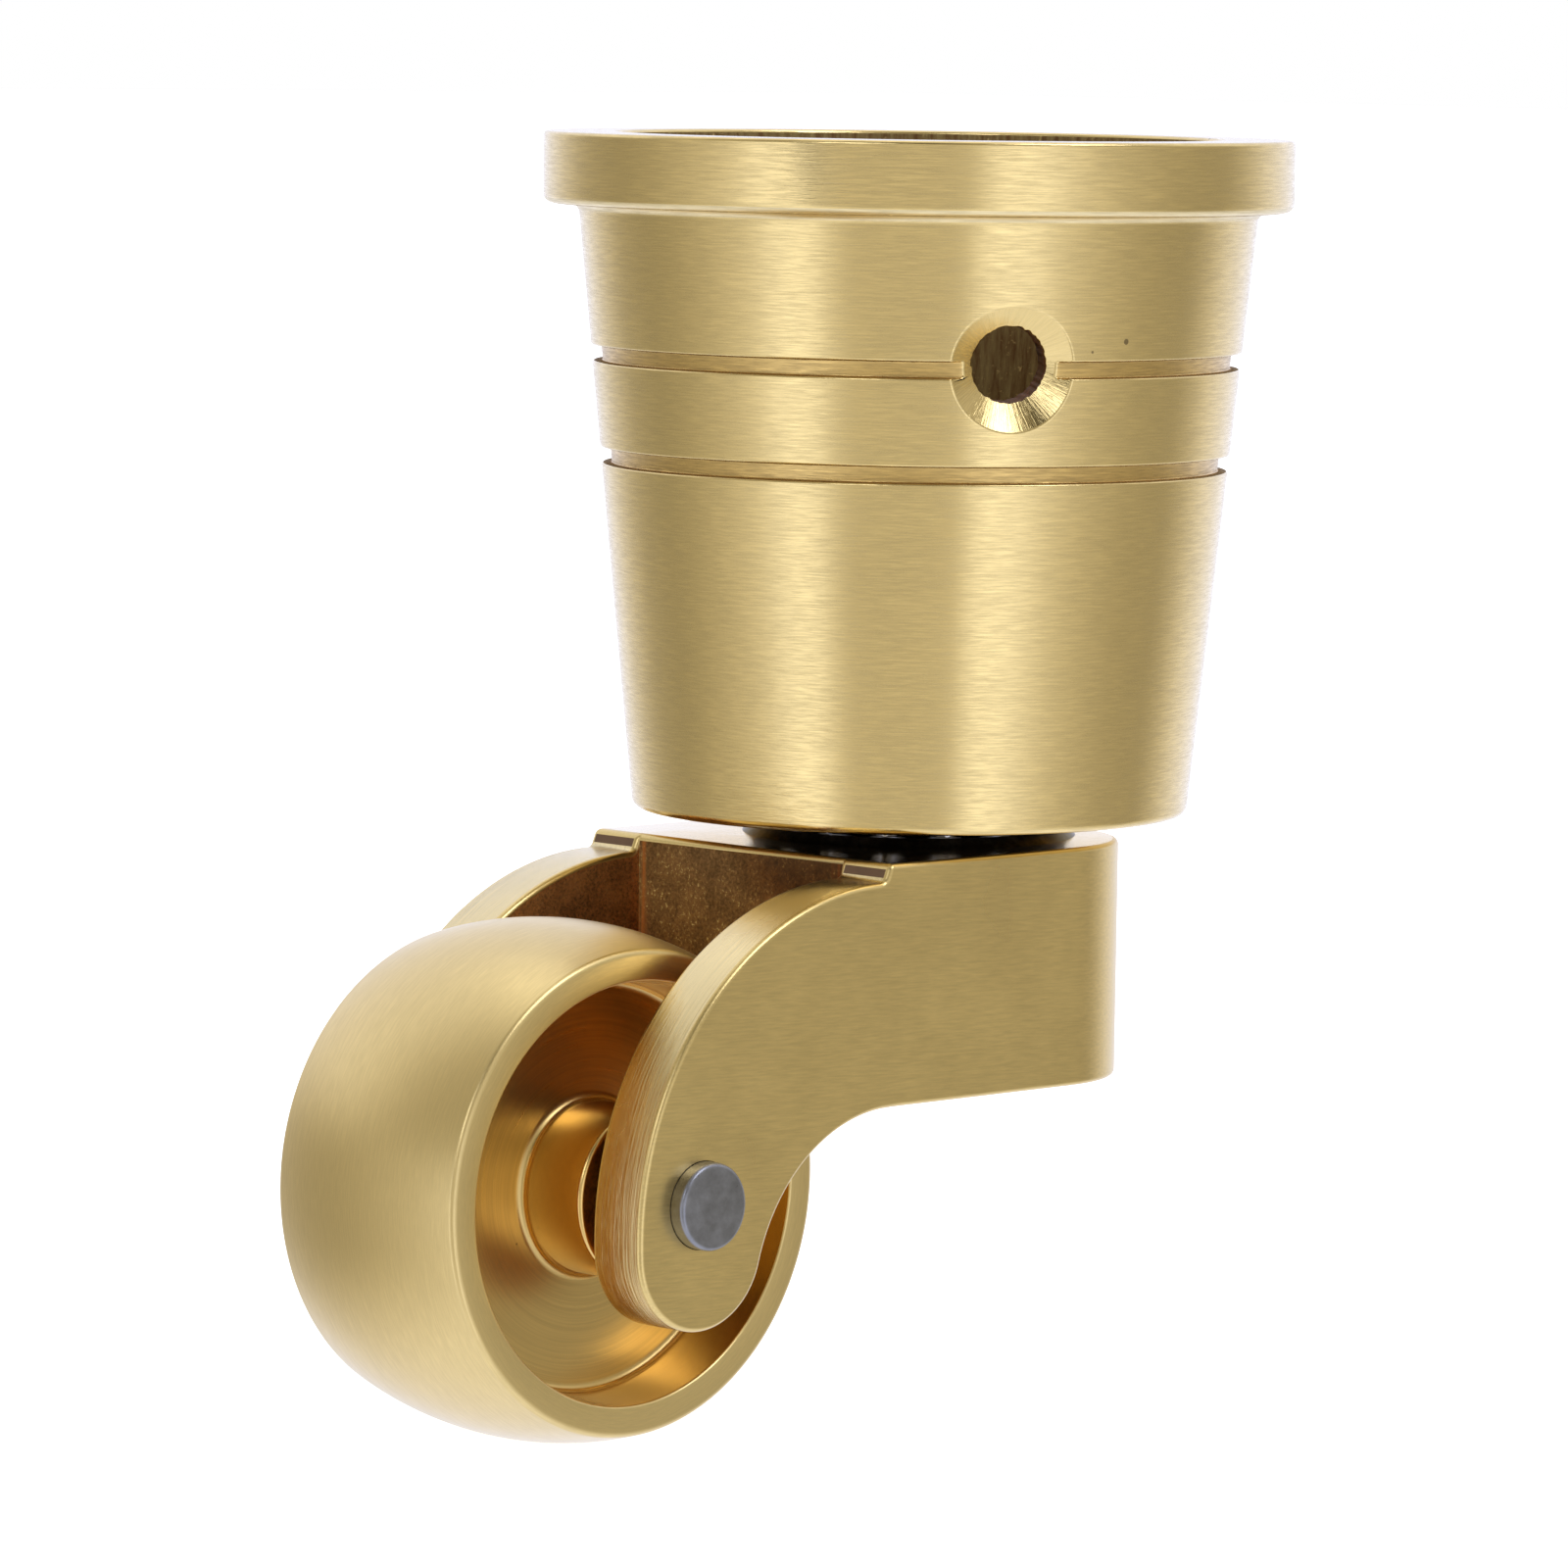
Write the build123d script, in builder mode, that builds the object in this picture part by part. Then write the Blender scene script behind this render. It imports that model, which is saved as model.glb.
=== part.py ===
from build123d import *
import os
from math import atan2, cos, degrees, radians, sin, sqrt

# Brass swivel castor with a tapered cup that slips over the foot of a round furniture leg.
# Millimetres. The origin is the centre of the cup's mouth and +Z points up into the leg.
# The horn swivels about Z and trails towards -X. The wheel turns on an axle along Y.

# Cup
rim_diameter = 47.0
rim_height = 4.5
rim_overhang = 2.2
body_bottom_diameter = 34.9
cup_height = 42.3
floor_thickness = 4.3
wall_at_mouth = 2.3
wall_at_floor = 2.4
rim_edge_radius = 0.45
mouth_edge_radius = 0.3
cove_radius = 0.6
base_edge_radius = 0.5

# Turned grooves and screw holes in the cup
groove_width = 1.0
groove_depth = 0.65
upper_groove_drop = 13.8
lower_groove_drop = 20.2
screw_hole_diameter = 4.8
countersink_diameter = 8.4
countersink_angle = 90.0
screw_count = 2
first_screw_angle = -119.0

# Ball bearing between the cup and the horn
race_gap = 1.5
race_slit = 0.3
race_flange_diameter = 21.0
race_waist_diameter = 19.8
race_hub_diameter = 19.4
race_bore_diameter = 11.2
race_floor = 0.5
ball_count = 15
ball_diameter = 2.6
ball_circle_diameter = 16.0

# Swivel pin and its washer
pin_diameter = 8.0
pin_head_diameter = 13.0
pin_head_edge = 1.0
pin_head_height = 2.6
pin_foot_diameter = 10.4
pin_foot_height = 1.5
washer_diameter = 16.0
washer_thickness = 1.2

# Horn
horn_width = 26.6
horn_back = 10.8
horn_height = 14.9
back_corner_radius = 9.3
pad_height = 1.1
pad_slope_run = 0.45
pad_edge_radius = 0.35
pad_foot_radius = 0.5
horn_edge_radius = 0.35
slot_wall = 14.7
cheek_thickness = 4.2
slot_corner_radius = 0.8
toe_radius = 5.05
toe_drop = 2.6
throat_radius = 11.4

# Wheel and axle
wheel_diameter = 31.8
wheel_edge_diameter = 29.4
wheel_width = 15.8
wheel_trail = 30.1
axle_drop = 19.4
dish_diameter = 25.7
dish_floor_diameter = 25.0
web_thickness = 7.0
boss_diameter = 10.5
boss_base_fillet = 0.6
dish_fillet = 0.5
boss_edge_radius = 0.3
wheel_edge_radius = 0.35
axle_diameter = 5.3
axle_proud = 1.05
axle_bevel = 0.3

# Clearances
running_clearance = 0.05
seat_clearance = 0.02
boss_side_play = 0.5
wheel_side_shift = 0.4
wheel_well_clearance = 0.8

# Levels and radii that follow from the driving sizes
body_top_diameter = rim_diameter - 2 * rim_overhang
mouth_diameter = body_top_diameter - 2 * wall_at_mouth
cup_bottom = -cup_height
cup_floor = cup_bottom + floor_thickness
race_middle = cup_bottom - race_gap / 2
horn_top = cup_bottom - race_gap
cheek_top = horn_top - pad_height
horn_bottom = horn_top - horn_height
axle_x = -wheel_trail
axle_z = horn_top - axle_drop
slot_width = horn_width - 2 * cheek_thickness
boss_length = slot_width - 2 * boss_side_play
ball_radius = ball_diameter / 2
raceway_radius = ball_radius + running_clearance
race_depth = raceway_radius + race_floor - race_gap / 2
race_seat_radius = race_hub_diameter / 2 + seat_clearance
pin_radius = pin_diameter / 2
pin_bore_radius = pin_radius + running_clearance
washer_top = cup_floor + washer_thickness
pin_head_seat = washer_top + running_clearance


def body_radius(drop):
    """Outer radius of the tapered cup wall at a distance below the mouth."""
    taper = (body_top_diameter - body_bottom_diameter) / 2 / (cup_height - rim_height)
    return body_top_diameter / 2 - taper * (drop - rim_height)


def radial_plane(angle, radius, height):
    """Plane that faces outwards from the swivel axis."""
    outward = (cos(radians(angle)), sin(radians(angle)), 0)
    return Plane(origin=(radius * outward[0], radius * outward[1], height),
                 x_dir=(-outward[1], outward[0], 0), z_dir=outward)


def corner(sketch, x, y):
    """The vertex of a section nearest to a point in the section's own plane."""
    return sketch.vertices().sort_by_distance((x, y))[0]


def finish_piece(piece, name):
    """Label a finished piece and write it as one STEP file."""
    piece.label = name
    export_step(piece, f"parts/{name}.step")


os.makedirs("parts", exist_ok=True)

# Cup: a turned shell with a rim band, a tapered wall, two grooves and a bearing seat below
floor_radius = body_radius(-cup_floor) - wall_at_floor
with BuildPart() as cup_socket:
    with BuildSketch(Plane.XZ) as cup_section:
        with BuildLine():
            Polyline(
                (pin_bore_radius, cup_floor),
                (floor_radius, cup_floor),
                (mouth_diameter / 2, 0),
                (rim_diameter / 2, 0),
                (rim_diameter / 2, -rim_height),
                (body_top_diameter / 2, -rim_height),
                (body_bottom_diameter / 2, cup_bottom),
                (race_seat_radius, cup_bottom),
                (race_seat_radius, cup_bottom + race_depth),
                (pin_bore_radius, cup_bottom + race_depth),
                close=True,
            )
        make_face()
        fillet(cup_section.vertices().group_by(Axis.X)[-1], rim_edge_radius)
        fillet(corner(cup_section, mouth_diameter / 2, 0), mouth_edge_radius)
        fillet(corner(cup_section, body_top_diameter / 2, -rim_height), cove_radius)
        fillet(corner(cup_section, body_bottom_diameter / 2, cup_bottom), base_edge_radius)
        for groove_drop in (upper_groove_drop, lower_groove_drop):
            with Locations((body_radius(groove_drop), -groove_drop)):
                Rectangle(2 * groove_depth, groove_width, mode=Mode.SUBTRACT)
    revolve(axis=Axis.Z)
    for screw in range(screw_count):
        screw_angle = first_screw_angle + 360 / screw_count * screw
        wall_radius = body_radius(upper_groove_drop)
        with Locations(radial_plane(screw_angle, wall_radius, -upper_groove_drop)):
            CounterSinkHole(
                radius=screw_hole_diameter / 2,
                counter_sink_radius=countersink_diameter / 2,
                depth=wall_radius / 2,
                counter_sink_angle=countersink_angle,
            )
finish_piece(cup_socket.part, "cup_socket")

# Bearing races: the upper one is let into the cup, the lower one into the horn
with BuildPart() as upper_race:
    with BuildSketch(Plane.XZ):
        with BuildLine():
            Polyline(
                (race_bore_diameter / 2, race_middle + race_slit / 2),
                (race_waist_diameter / 2, race_middle + race_slit / 2),
                (race_flange_diameter / 2, cup_bottom),
                (race_hub_diameter / 2, cup_bottom),
                (race_hub_diameter / 2, cup_bottom + race_depth),
                (race_bore_diameter / 2, cup_bottom + race_depth),
                close=True,
            )
        make_face()
        with Locations((ball_circle_diameter / 2, race_middle)):
            Circle(raceway_radius, mode=Mode.SUBTRACT)
    revolve(axis=Axis.Z)
finish_piece(upper_race.part, "upper_race")

with BuildPart() as lower_race:
    mirror(upper_race.part, about=Plane.XY.offset(race_middle))
finish_piece(lower_race.part, "lower_race")

# Bearing balls, evenly spaced between the two raceways
for ball in range(ball_count):
    ball_angle = 360 / ball_count * ball
    with BuildPart() as bearing_ball:
        with Locations(radial_plane(ball_angle, ball_circle_diameter / 2, race_middle)):
            Sphere(ball_radius)
    finish_piece(bearing_ball.part, f"bearing_ball_{ball + 1:02d}")

# Washer under the head of the swivel pin, on the floor of the cup
with BuildPart() as pin_washer:
    with BuildSketch(Plane.XY.offset(cup_floor)):
        Circle(washer_diameter / 2)
        Circle(pin_bore_radius, mode=Mode.SUBTRACT)
    extrude(amount=washer_thickness)
finish_piece(pin_washer.part, "pin_washer")

# Swivel pin: a domed head inside the cup and a foot peened into the horn's underside
with BuildPart() as swivel_pin:
    with BuildSketch(Plane.XZ):
        with BuildLine():
            Polyline(
                (0, pin_head_seat + pin_head_height),
                (0, horn_bottom),
                (pin_foot_diameter / 2, horn_bottom),
                (pin_radius, horn_bottom + pin_foot_height),
                (pin_radius, pin_head_seat),
                (pin_head_diameter / 2, pin_head_seat),
                (pin_head_diameter / 2, pin_head_seat + pin_head_edge),
            )
            TangentArc(
                (0, pin_head_seat + pin_head_height),
                (pin_head_diameter / 2, pin_head_seat + pin_head_edge),
                tangent=(1, 0),
            )
        make_face()
    revolve(axis=Axis.Z)
finish_piece(swivel_pin.part, "swivel_pin")

# Horn: its side view is a block with a raised pad under the bearing, then a brow arc,
# a toe round the axle and a throat arc, each tangent to the next
toe_x = axle_x
toe_z = axle_z - toe_drop
brow_x = -slot_wall - pad_slope_run
brow_rise = cheek_top - toe_z
brow_radius = ((brow_x - toe_x) ** 2 + brow_rise ** 2 - toe_radius ** 2) / 2 / (brow_rise - toe_radius)
brow_z = cheek_top - brow_radius
throat_z = horn_bottom - throat_radius
throat_x = toe_x + sqrt((throat_radius + toe_radius) ** 2 - (throat_z - toe_z) ** 2)
brow_end = degrees(atan2(toe_z - brow_z, toe_x - brow_x)) % 360
throat_end = degrees(atan2(toe_z - throat_z, toe_x - throat_x)) % 360
toe_end = throat_end + 180

with BuildPart() as horn:
    with BuildSketch(Plane.XZ) as side_view:
        with BuildLine():
            CenterArc((brow_x, brow_z), brow_radius, 90, brow_end - 90)
            CenterArc((toe_x, toe_z), toe_radius, brow_end, toe_end - brow_end)
            CenterArc((throat_x, throat_z), throat_radius, 90, throat_end - 90)
            Polyline(
                (throat_x, horn_bottom),
                (horn_back, horn_bottom),
                (horn_back, horn_top),
                (-slot_wall, horn_top),
                (brow_x, cheek_top),
            )
        make_face()
        fillet(corner(side_view, -slot_wall, horn_top), pad_edge_radius)
        fillet(corner(side_view, brow_x, cheek_top), pad_foot_radius)
    extrude(amount=horn_width / 2, both=True)
    fillet(horn.edges().filter_by(Axis.Z).group_by(Axis.X)[-1], back_corner_radius)

    # Softened outlines of the two outer faces
    side_faces = horn.faces().filter_by(Axis.Y)
    fillet(side_faces.edges().filter_by(Axis.Z, reverse=True), horn_edge_radius)

    # Slot between the cheeks, hollowed where the wheel comes near its wall
    slot_reach = wheel_trail + brow_radius
    with BuildSketch(Plane.XY.offset(horn_top)) as slot_plan:
        with Locations((-slot_wall - slot_reach / 2, 0)):
            Rectangle(slot_reach, slot_width)
        fillet(slot_plan.vertices().group_by(Axis.X)[-1], slot_corner_radius)
    extrude(amount=-(axle_drop + wheel_diameter), mode=Mode.SUBTRACT)
    with BuildSketch(Plane.XZ):
        with Locations((axle_x, axle_z)):
            Circle(wheel_diameter / 2 + wheel_well_clearance)
    extrude(amount=slot_width / 2, both=True, mode=Mode.SUBTRACT)

    # Axle hole, bearing seat and pin hole
    with BuildSketch(Plane.XZ):
        with Locations((axle_x, axle_z)):
            Circle(axle_diameter / 2 + seat_clearance)
    extrude(amount=horn_width, both=True, mode=Mode.SUBTRACT)
    with Locations((0, 0, horn_top)):
        CounterBoreHole(
            radius=pin_radius + seat_clearance,
            counter_bore_radius=race_seat_radius,
            counter_bore_depth=race_depth,
            depth=horn_height,
        )
    with Locations((0, 0, horn_bottom)):
        Cone(
            bottom_radius=pin_foot_diameter / 2 + seat_clearance,
            top_radius=pin_radius + seat_clearance,
            height=pin_foot_height,
            align=(Align.CENTER, Align.CENTER, Align.MIN),
            mode=Mode.SUBTRACT,
        )
finish_piece(horn.part, "horn")

# Wheel: a barrel-shaped tread with a dished web and a boss on each side. It rests a little
# towards one cheek, within its side play
wheel_plane = Plane(origin=(axle_x, wheel_side_shift, axle_z), x_dir=(0, 1, 0), z_dir=(1, 0, 0))
with BuildPart() as wheel:
    with BuildSketch(wheel_plane) as wheel_section:
        with BuildLine():
            Polyline(
                (0, wheel_diameter / 2),
                (0, axle_diameter / 2 + running_clearance),
                (boss_length / 2, axle_diameter / 2 + running_clearance),
                (boss_length / 2, boss_diameter / 2),
                (web_thickness / 2, boss_diameter / 2),
                (web_thickness / 2, dish_floor_diameter / 2),
                (wheel_width / 2, dish_diameter / 2),
                (wheel_width / 2, wheel_edge_diameter / 2),
            )
            TangentArc(
                (0, wheel_diameter / 2),
                (wheel_width / 2, wheel_edge_diameter / 2),
                tangent=(1, 0),
            )
        make_face()
        fillet(corner(wheel_section, web_thickness / 2, boss_diameter / 2), boss_base_fillet)
        fillet(corner(wheel_section, web_thickness / 2, dish_floor_diameter / 2), dish_fillet)
        fillet(corner(wheel_section, boss_length / 2, boss_diameter / 2), boss_edge_radius)
        fillet(corner(wheel_section, wheel_width / 2, wheel_edge_diameter / 2), wheel_edge_radius)
        mirror(about=Plane.YZ)
    revolve(axis=Axis((axle_x, 0, axle_z), (0, 1, 0)))
finish_piece(wheel.part, "wheel")

# Axle pin with bevelled ends that stand proud of the cheeks
with BuildPart() as axle_pin:
    with BuildSketch(Plane.XZ):
        with Locations((axle_x, axle_z)):
            Circle(axle_diameter / 2)
    extrude(amount=horn_width / 2 + axle_proud, both=True)
    chamfer(axle_pin.edges().filter_by(GeomType.CIRCLE), axle_bevel)
finish_piece(axle_pin.part, "axle_pin")
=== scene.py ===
from math import asin, atan2, copysign, cos, pi, radians, sin, sqrt, tan

import bmesh
import bpy
from bpy.props import FloatProperty, FloatVectorProperty, IntProperty, PointerProperty
from bpy.types import Operator, Panel, PropertyGroup
from mathutils import Matrix, Vector, noise


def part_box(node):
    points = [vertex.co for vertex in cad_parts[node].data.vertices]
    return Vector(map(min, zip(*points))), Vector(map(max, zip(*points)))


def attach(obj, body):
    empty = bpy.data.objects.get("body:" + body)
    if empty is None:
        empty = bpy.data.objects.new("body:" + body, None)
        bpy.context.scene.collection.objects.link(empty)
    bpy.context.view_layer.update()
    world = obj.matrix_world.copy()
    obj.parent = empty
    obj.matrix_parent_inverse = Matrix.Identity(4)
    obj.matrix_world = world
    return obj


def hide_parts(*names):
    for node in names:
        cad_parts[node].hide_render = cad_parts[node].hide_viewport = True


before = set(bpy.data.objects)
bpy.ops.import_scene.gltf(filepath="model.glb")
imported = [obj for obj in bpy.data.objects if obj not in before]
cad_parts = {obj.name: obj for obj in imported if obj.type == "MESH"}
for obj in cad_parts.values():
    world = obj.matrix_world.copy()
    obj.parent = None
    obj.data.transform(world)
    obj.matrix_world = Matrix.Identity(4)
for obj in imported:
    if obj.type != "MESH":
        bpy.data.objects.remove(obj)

bl_info = {
    "name": "Brass Swivel Castor",
    "version": (1, 0, 0),
    "blender": (4, 5, 0),
    "location": "View3D > Sidebar > Castor",
    "description": "Turned cup, ball bearing, horn, wheel and pins of a brass furniture castor, and a small studio",
    "category": "Add Mesh",
}

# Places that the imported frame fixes, in metres
CUP_LOW, CUP_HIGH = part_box("cup_socket")
HORN_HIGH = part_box("horn")[1]
WHEEL_LOW, WHEEL_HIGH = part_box("wheel")
AXLE_LOW, AXLE_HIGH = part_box("axle_pin")
AXLE = (AXLE_LOW + AXLE_HIGH) / 2
WHEEL = (WHEEL_LOW + WHEEL_HIGH) / 2
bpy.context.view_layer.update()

# Play on the radius of a piece that is let in, and of one that turns
SEAT_PLAY = 0.00002
TURNING_PLAY = 0.00005

# Up to this angle two faces are shaded as one
SMOOTH_ANGLE = radians(32)


def length(name, description, default):
    """A size in metres for a settings group."""
    return FloatProperty(name=name, description=description, default=default, min=0.0, precision=5, unit="LENGTH")


def colour(name, description, default):
    """A linear colour for a settings group."""
    return FloatVectorProperty(
        name=name, description=description, default=default, min=0.0, max=1.0, size=3, subtype="COLOR"
    )


class CastorCupSettings(PropertyGroup):
    """Sizes of the turned cup."""

    rim_diameter: length("Rim diameter", "Across the band at the mouth", CUP_HIGH.x - CUP_LOW.x)
    rim_height: length("Rim height", "Height of the band at the mouth", 0.0045)
    mouth_diameter: length("Mouth diameter", "Inside the mouth", 0.038)
    body_top_diameter: length("Body top diameter", "Under the rim band", 0.0426)
    body_bottom_diameter: length("Body bottom diameter", "At the foot of the taper", 0.0349)
    floor_thickness: length("Floor thickness", "Solid brass under the socket", 0.0043)
    wall_at_floor: length("Wall at the floor", "Wall thickness where it meets the floor", 0.0024)
    groove_width: length("Groove width", "Width of each turned groove", 0.001)
    groove_depth: length("Groove depth", "Depth of each turned groove", 0.00065)
    upper_groove: length("Upper groove", "Drop of the upper groove from the mouth", 0.0138)
    lower_groove: length("Lower groove", "Drop of the lower groove from the mouth", 0.0202)
    hole_diameter: length("Screw hole", "Diameter of each screw hole", 0.0048)
    sink_diameter: length("Countersink", "Diameter of each countersink at the wall", 0.0082)
    screw_angle: FloatProperty(
        name="Screw angle", description="Direction of the first screw hole", default=radians(-118.1), unit="ROTATION"
    )
    sink_angle: FloatProperty(
        name="Countersink angle", description="Full angle of each countersink", default=radians(112), unit="ROTATION"
    )
    steps: IntProperty(name="Steps", description="Steps round the turned pieces", default=384, min=32)


class CastorBearingSettings(PropertyGroup):
    """Sizes of the bearing, the swivel pin and its washer."""

    gap: length("Gap", "Height between the cup and the horn", 0.0015)
    slit: length("Slit", "Open height between the two races", 0.0003)
    flange_diameter: length("Flange diameter", "Across each race where it meets the brass", 0.021)
    waist_diameter: length("Waist diameter", "Across each race at the slit", 0.0198)
    hub_diameter: length("Hub diameter", "Part of the race let into the brass", 0.0194)
    bore_diameter: length("Bore diameter", "Hole through each race", 0.0112)
    ball_circle: length("Ball circle", "Diameter through the middles of the balls", 0.016)
    raceway_radius: length("Raceway radius", "Radius of the track for the balls", 0.00135)
    seat_depth: length("Seat depth", "How deep each race is let in", 0.0011)
    pin_diameter: length("Pin diameter", "Shank of the swivel pin", 0.008)
    head_diameter: length("Head diameter", "Head of the swivel pin in the cup", 0.013)
    head_height: length("Head height", "Height of the pin's head", 0.0026)
    foot_diameter: length("Foot diameter", "Peened foot under the horn", 0.0104)
    foot_height: length("Foot height", "Height of the pin's peened foot", 0.0015)
    washer_diameter: length("Washer diameter", "Washer under the pin's head", 0.016)
    washer_thickness: length("Washer thickness", "Thickness of the washer", 0.0012)


class CastorHornSettings(PropertyGroup):
    """Sizes of the horn."""

    height: length("Height", "Height of the block behind the slot", 0.0149)
    back_corner: length("Back corner", "Radius of the two upright back corners", 0.0093)
    pad_height: length("Pad height", "Step from the pad down to the cheeks", 0.0011)
    pad_slope: length("Pad slope", "Length of the slope under the pad", 0.00045)
    pad_foot: length("Pad foot", "Hollow at the foot of the slope", 0.0003)
    edge: length("Edge", "Softened edges", 0.00035)
    slot_wall: length("Slot wall", "Distance of the slot's wall from the swivel axis", 0.0147)
    cheek: length("Cheek", "Thickness of each cheek", 0.0042)
    toe_radius: length("Toe radius", "Radius of the toe round the axle", 0.00505)
    toe_drop: length("Toe drop", "Drop of the toe's centre below the axle", 0.0026)
    throat_radius: length("Throat radius", "Radius of the hollow under the horn", 0.0114)
    well_clearance: length("Well clearance", "Room between the wheel and the slot's wall", 0.0008)


class CastorWheelSettings(PropertyGroup):
    """Sizes of the wheel and the axle pin."""

    edge_diameter: length("Edge diameter", "Across the tread at its edges", 0.0294)
    width: length("Width", "Width of the rim", 0.0158)
    dish_diameter: length("Dish diameter", "Across the dish at the rim's face", 0.0257)
    dish_floor: length("Dish floor", "Across the dish at the web", 0.025)
    web: length("Web", "Thickness of the web", 0.007)
    boss_diameter: length("Boss diameter", "Across the boss", 0.0105)
    bore_diameter: length("Bore diameter", "Hole for the axle", 0.0054)
    edge: length("Edge", "Softened edges", 0.00035)
    axle_bevel: length("Axle bevel", "Bevel on the ends of the axle pin", 0.0003)


class CastorFinishSettings(PropertyGroup):
    """Colours of the finishes, some of them painted shade, sheen and reflection."""

    brass: colour("Brass", "Fresh satin brass of the cup and wheel", (0.80, 0.60, 0.235))
    horn_brass: colour("Horn brass", "Slightly duller brass of the horn", (0.79, 0.585, 0.215))
    # The brow's paler brass is a painted sheen, for the brighter reflection along the brushed brow
    brow: colour("Brow", "Brushed front edge of the horn", (0.88, 0.70, 0.34))
    # The step's dark brown is painted shade on the slope under the pad
    step: colour("Step", "Brown slope under the horn's pad", (0.17, 0.09, 0.035))
    # The web's deep gold, darker than the brass, is partly painted shade in the wheel's dish
    web: colour("Web", "Deep gold of the wheel's web", (0.66, 0.45, 0.14))
    # Brown of the rough casting in the horn's slot and cheeks, and painted shade inside the cup and on the screw holes'
    # drilled walls
    tarnish_and_shade: colour("Tarnish", "Brown tarnish in corners and hollows", (0.30, 0.16, 0.055))
    # Painted reflection and shade: the amber stands for the groove's upper side seen in its lower side, in the groove's
    # shade
    groove_side_painted_reflection: colour("Groove side", "Amber left on the lower side of each groove", (0.60, 0.29, 0.05))
    # The red brown of each screw hole's drilled wall is painted shade inside the hole
    hole_edge: colour("Hole edge", "Red brown at the edge of each screw hole", (0.30, 0.10, 0.03))
    steel: colour("Steel", "Pins and washer", (0.29, 0.29, 0.3))
    balls: colour("Balls", "Polished bearing balls", (0.6, 0.6, 0.62))
    black: colour("Black", "Blackened races", (0.022, 0.019, 0.015))


class CastorStageSettings(PropertyGroup):
    """Light and floor."""

    floor: colour("Floor", "Colour of the floor", (0.9, 0.9, 0.9))
    soft_boxes: FloatProperty(
        name="Soft boxes", description="Brightness of the two soft boxes", default=1.2, min=0.0, subtype="FACTOR"
    )
    room: FloatProperty(name="Room", description="Brightness of the pale room", default=1.0, min=0.0, subtype="FACTOR")
    top_light: FloatProperty(
        name="Top light", description="Power of the overhead soft box", default=0.4, min=0.0, unit="POWER"
    )


class CastorSettings(PropertyGroup):
    """All the castor's settings."""

    cup: PointerProperty(type=CastorCupSettings, name="Cup", description="Sizes of the cup")
    bearing: PointerProperty(type=CastorBearingSettings, name="Bearing", description="Sizes of the bearing and pin")
    horn: PointerProperty(type=CastorHornSettings, name="Horn", description="Sizes of the horn")
    wheel: PointerProperty(type=CastorWheelSettings, name="Wheel", description="Sizes of the wheel and axle")
    finish: PointerProperty(type=CastorFinishSettings, name="Finish", description="Colours of the finishes")
    stage: PointerProperty(type=CastorStageSettings, name="Stage", description="Light, floor and camera")


def settings():
    """The castor's settings in the open scene."""
    return bpy.context.scene.castor


# Mesh helpers


def chain(bm, points, closed=False):
    """Join points by edges, in order, and give back the new corners."""
    corners = [bm.verts.new(p) for p in points]
    for start, end in zip(corners, corners[1:]):
        bm.edges.new((start, end))
    if closed:
        bm.edges.new((corners[-1], corners[0]))
    return corners


def soften(bm, corner, size):
    """Round one corner of an outline."""
    bmesh.ops.bevel(
        bm, geom=[corner], offset=size, offset_type="OFFSET", segments=4, profile=0.5,
        affect="VERTICES", material=-1,
    )


def soften_edges(bm, edges, size, segments, finish=-1):
    """Round edges of a solid. The new faces take the numbered finish, or that of their neighbours."""
    bmesh.ops.bevel(
        bm, geom=edges, offset=size, offset_type="OFFSET", segments=segments, profile=0.5,
        affect="EDGES", material=finish,
    )


def verts_of(geometry):
    """The vertices among what a mesh operator gives back."""
    return [part for part in geometry if isinstance(part, bmesh.types.BMVert)]


def faces_of(geometry):
    """The faces among what a mesh operator gives back."""
    return [part for part in geometry if isinstance(part, bmesh.types.BMFace)]


def sweep(bm, corner, centre, axis, angle, steps):
    """Draw an arc from a corner round a centre and give back its far end."""
    arc = bmesh.ops.spin(bm, geom=[corner], cent=centre, axis=axis, angle=angle, steps=steps, use_merge=False)
    return verts_of(arc["geom_last"])[0]


def in_order(bm):
    """Number the parts of a mesh by their places, so that each run cuts and bevels them in the same order."""
    for parts, place in (
        (bm.verts, lambda v: tuple(v.co)),
        (bm.edges, lambda e: sorted(v.index for v in e.verts)),
        (bm.faces, lambda f: sorted(v.index for v in f.verts)),
    ):
        ranks = {part: rank for rank, part in enumerate(sorted(parts, key=place))}
        parts.sort(key=ranks.get)
        parts.index_update()


def lathe(bm, centre, axis, steps):
    """Turn an outline once round an axis and close the seam and the poles."""
    bmesh.ops.spin(
        bm, geom=bm.verts[:] + bm.edges[:], cent=centre, axis=axis, angle=2 * pi, steps=steps, use_merge=True
    )
    bmesh.ops.remove_doubles(bm, verts=bm.verts[:], dist=1e-6)
    bmesh.ops.dissolve_degenerate(bm, edges=bm.edges[:], dist=1e-7)
    bmesh.ops.recalc_face_normals(bm, faces=bm.faces[:])
    in_order(bm)


def turned(outline, steps, lie_along="Z", middle=Vector((0, 0, 0))):
    """A turned solid from a closed outline of (radius, height, rounding) corners."""
    bm = bmesh.new()
    along = Vector((0, 0, 1)) if lie_along == "Z" else Vector((0, 1, 0))
    across = Vector((1, 0, 0)) if lie_along == "Z" else Vector((0, 0, 1))
    corners = chain(bm, [middle + across * r + along * h for r, h, size in outline], closed=True)
    for corner, (r, h, size) in zip(corners, outline):
        if size:
            soften(bm, corner, size)
    lathe(bm, middle, along, steps)
    return bm


def even_out(piece, sharp):
    """Shade a piece smooth up to an angle, with its flat faces flat."""
    piece.data.shade_smooth()
    piece.data.set_sharp_from_angle(angle=sharp)
    even = piece.modifiers.new("Even shading", "WEIGHTED_NORMAL")
    even.keep_sharp = True


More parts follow.
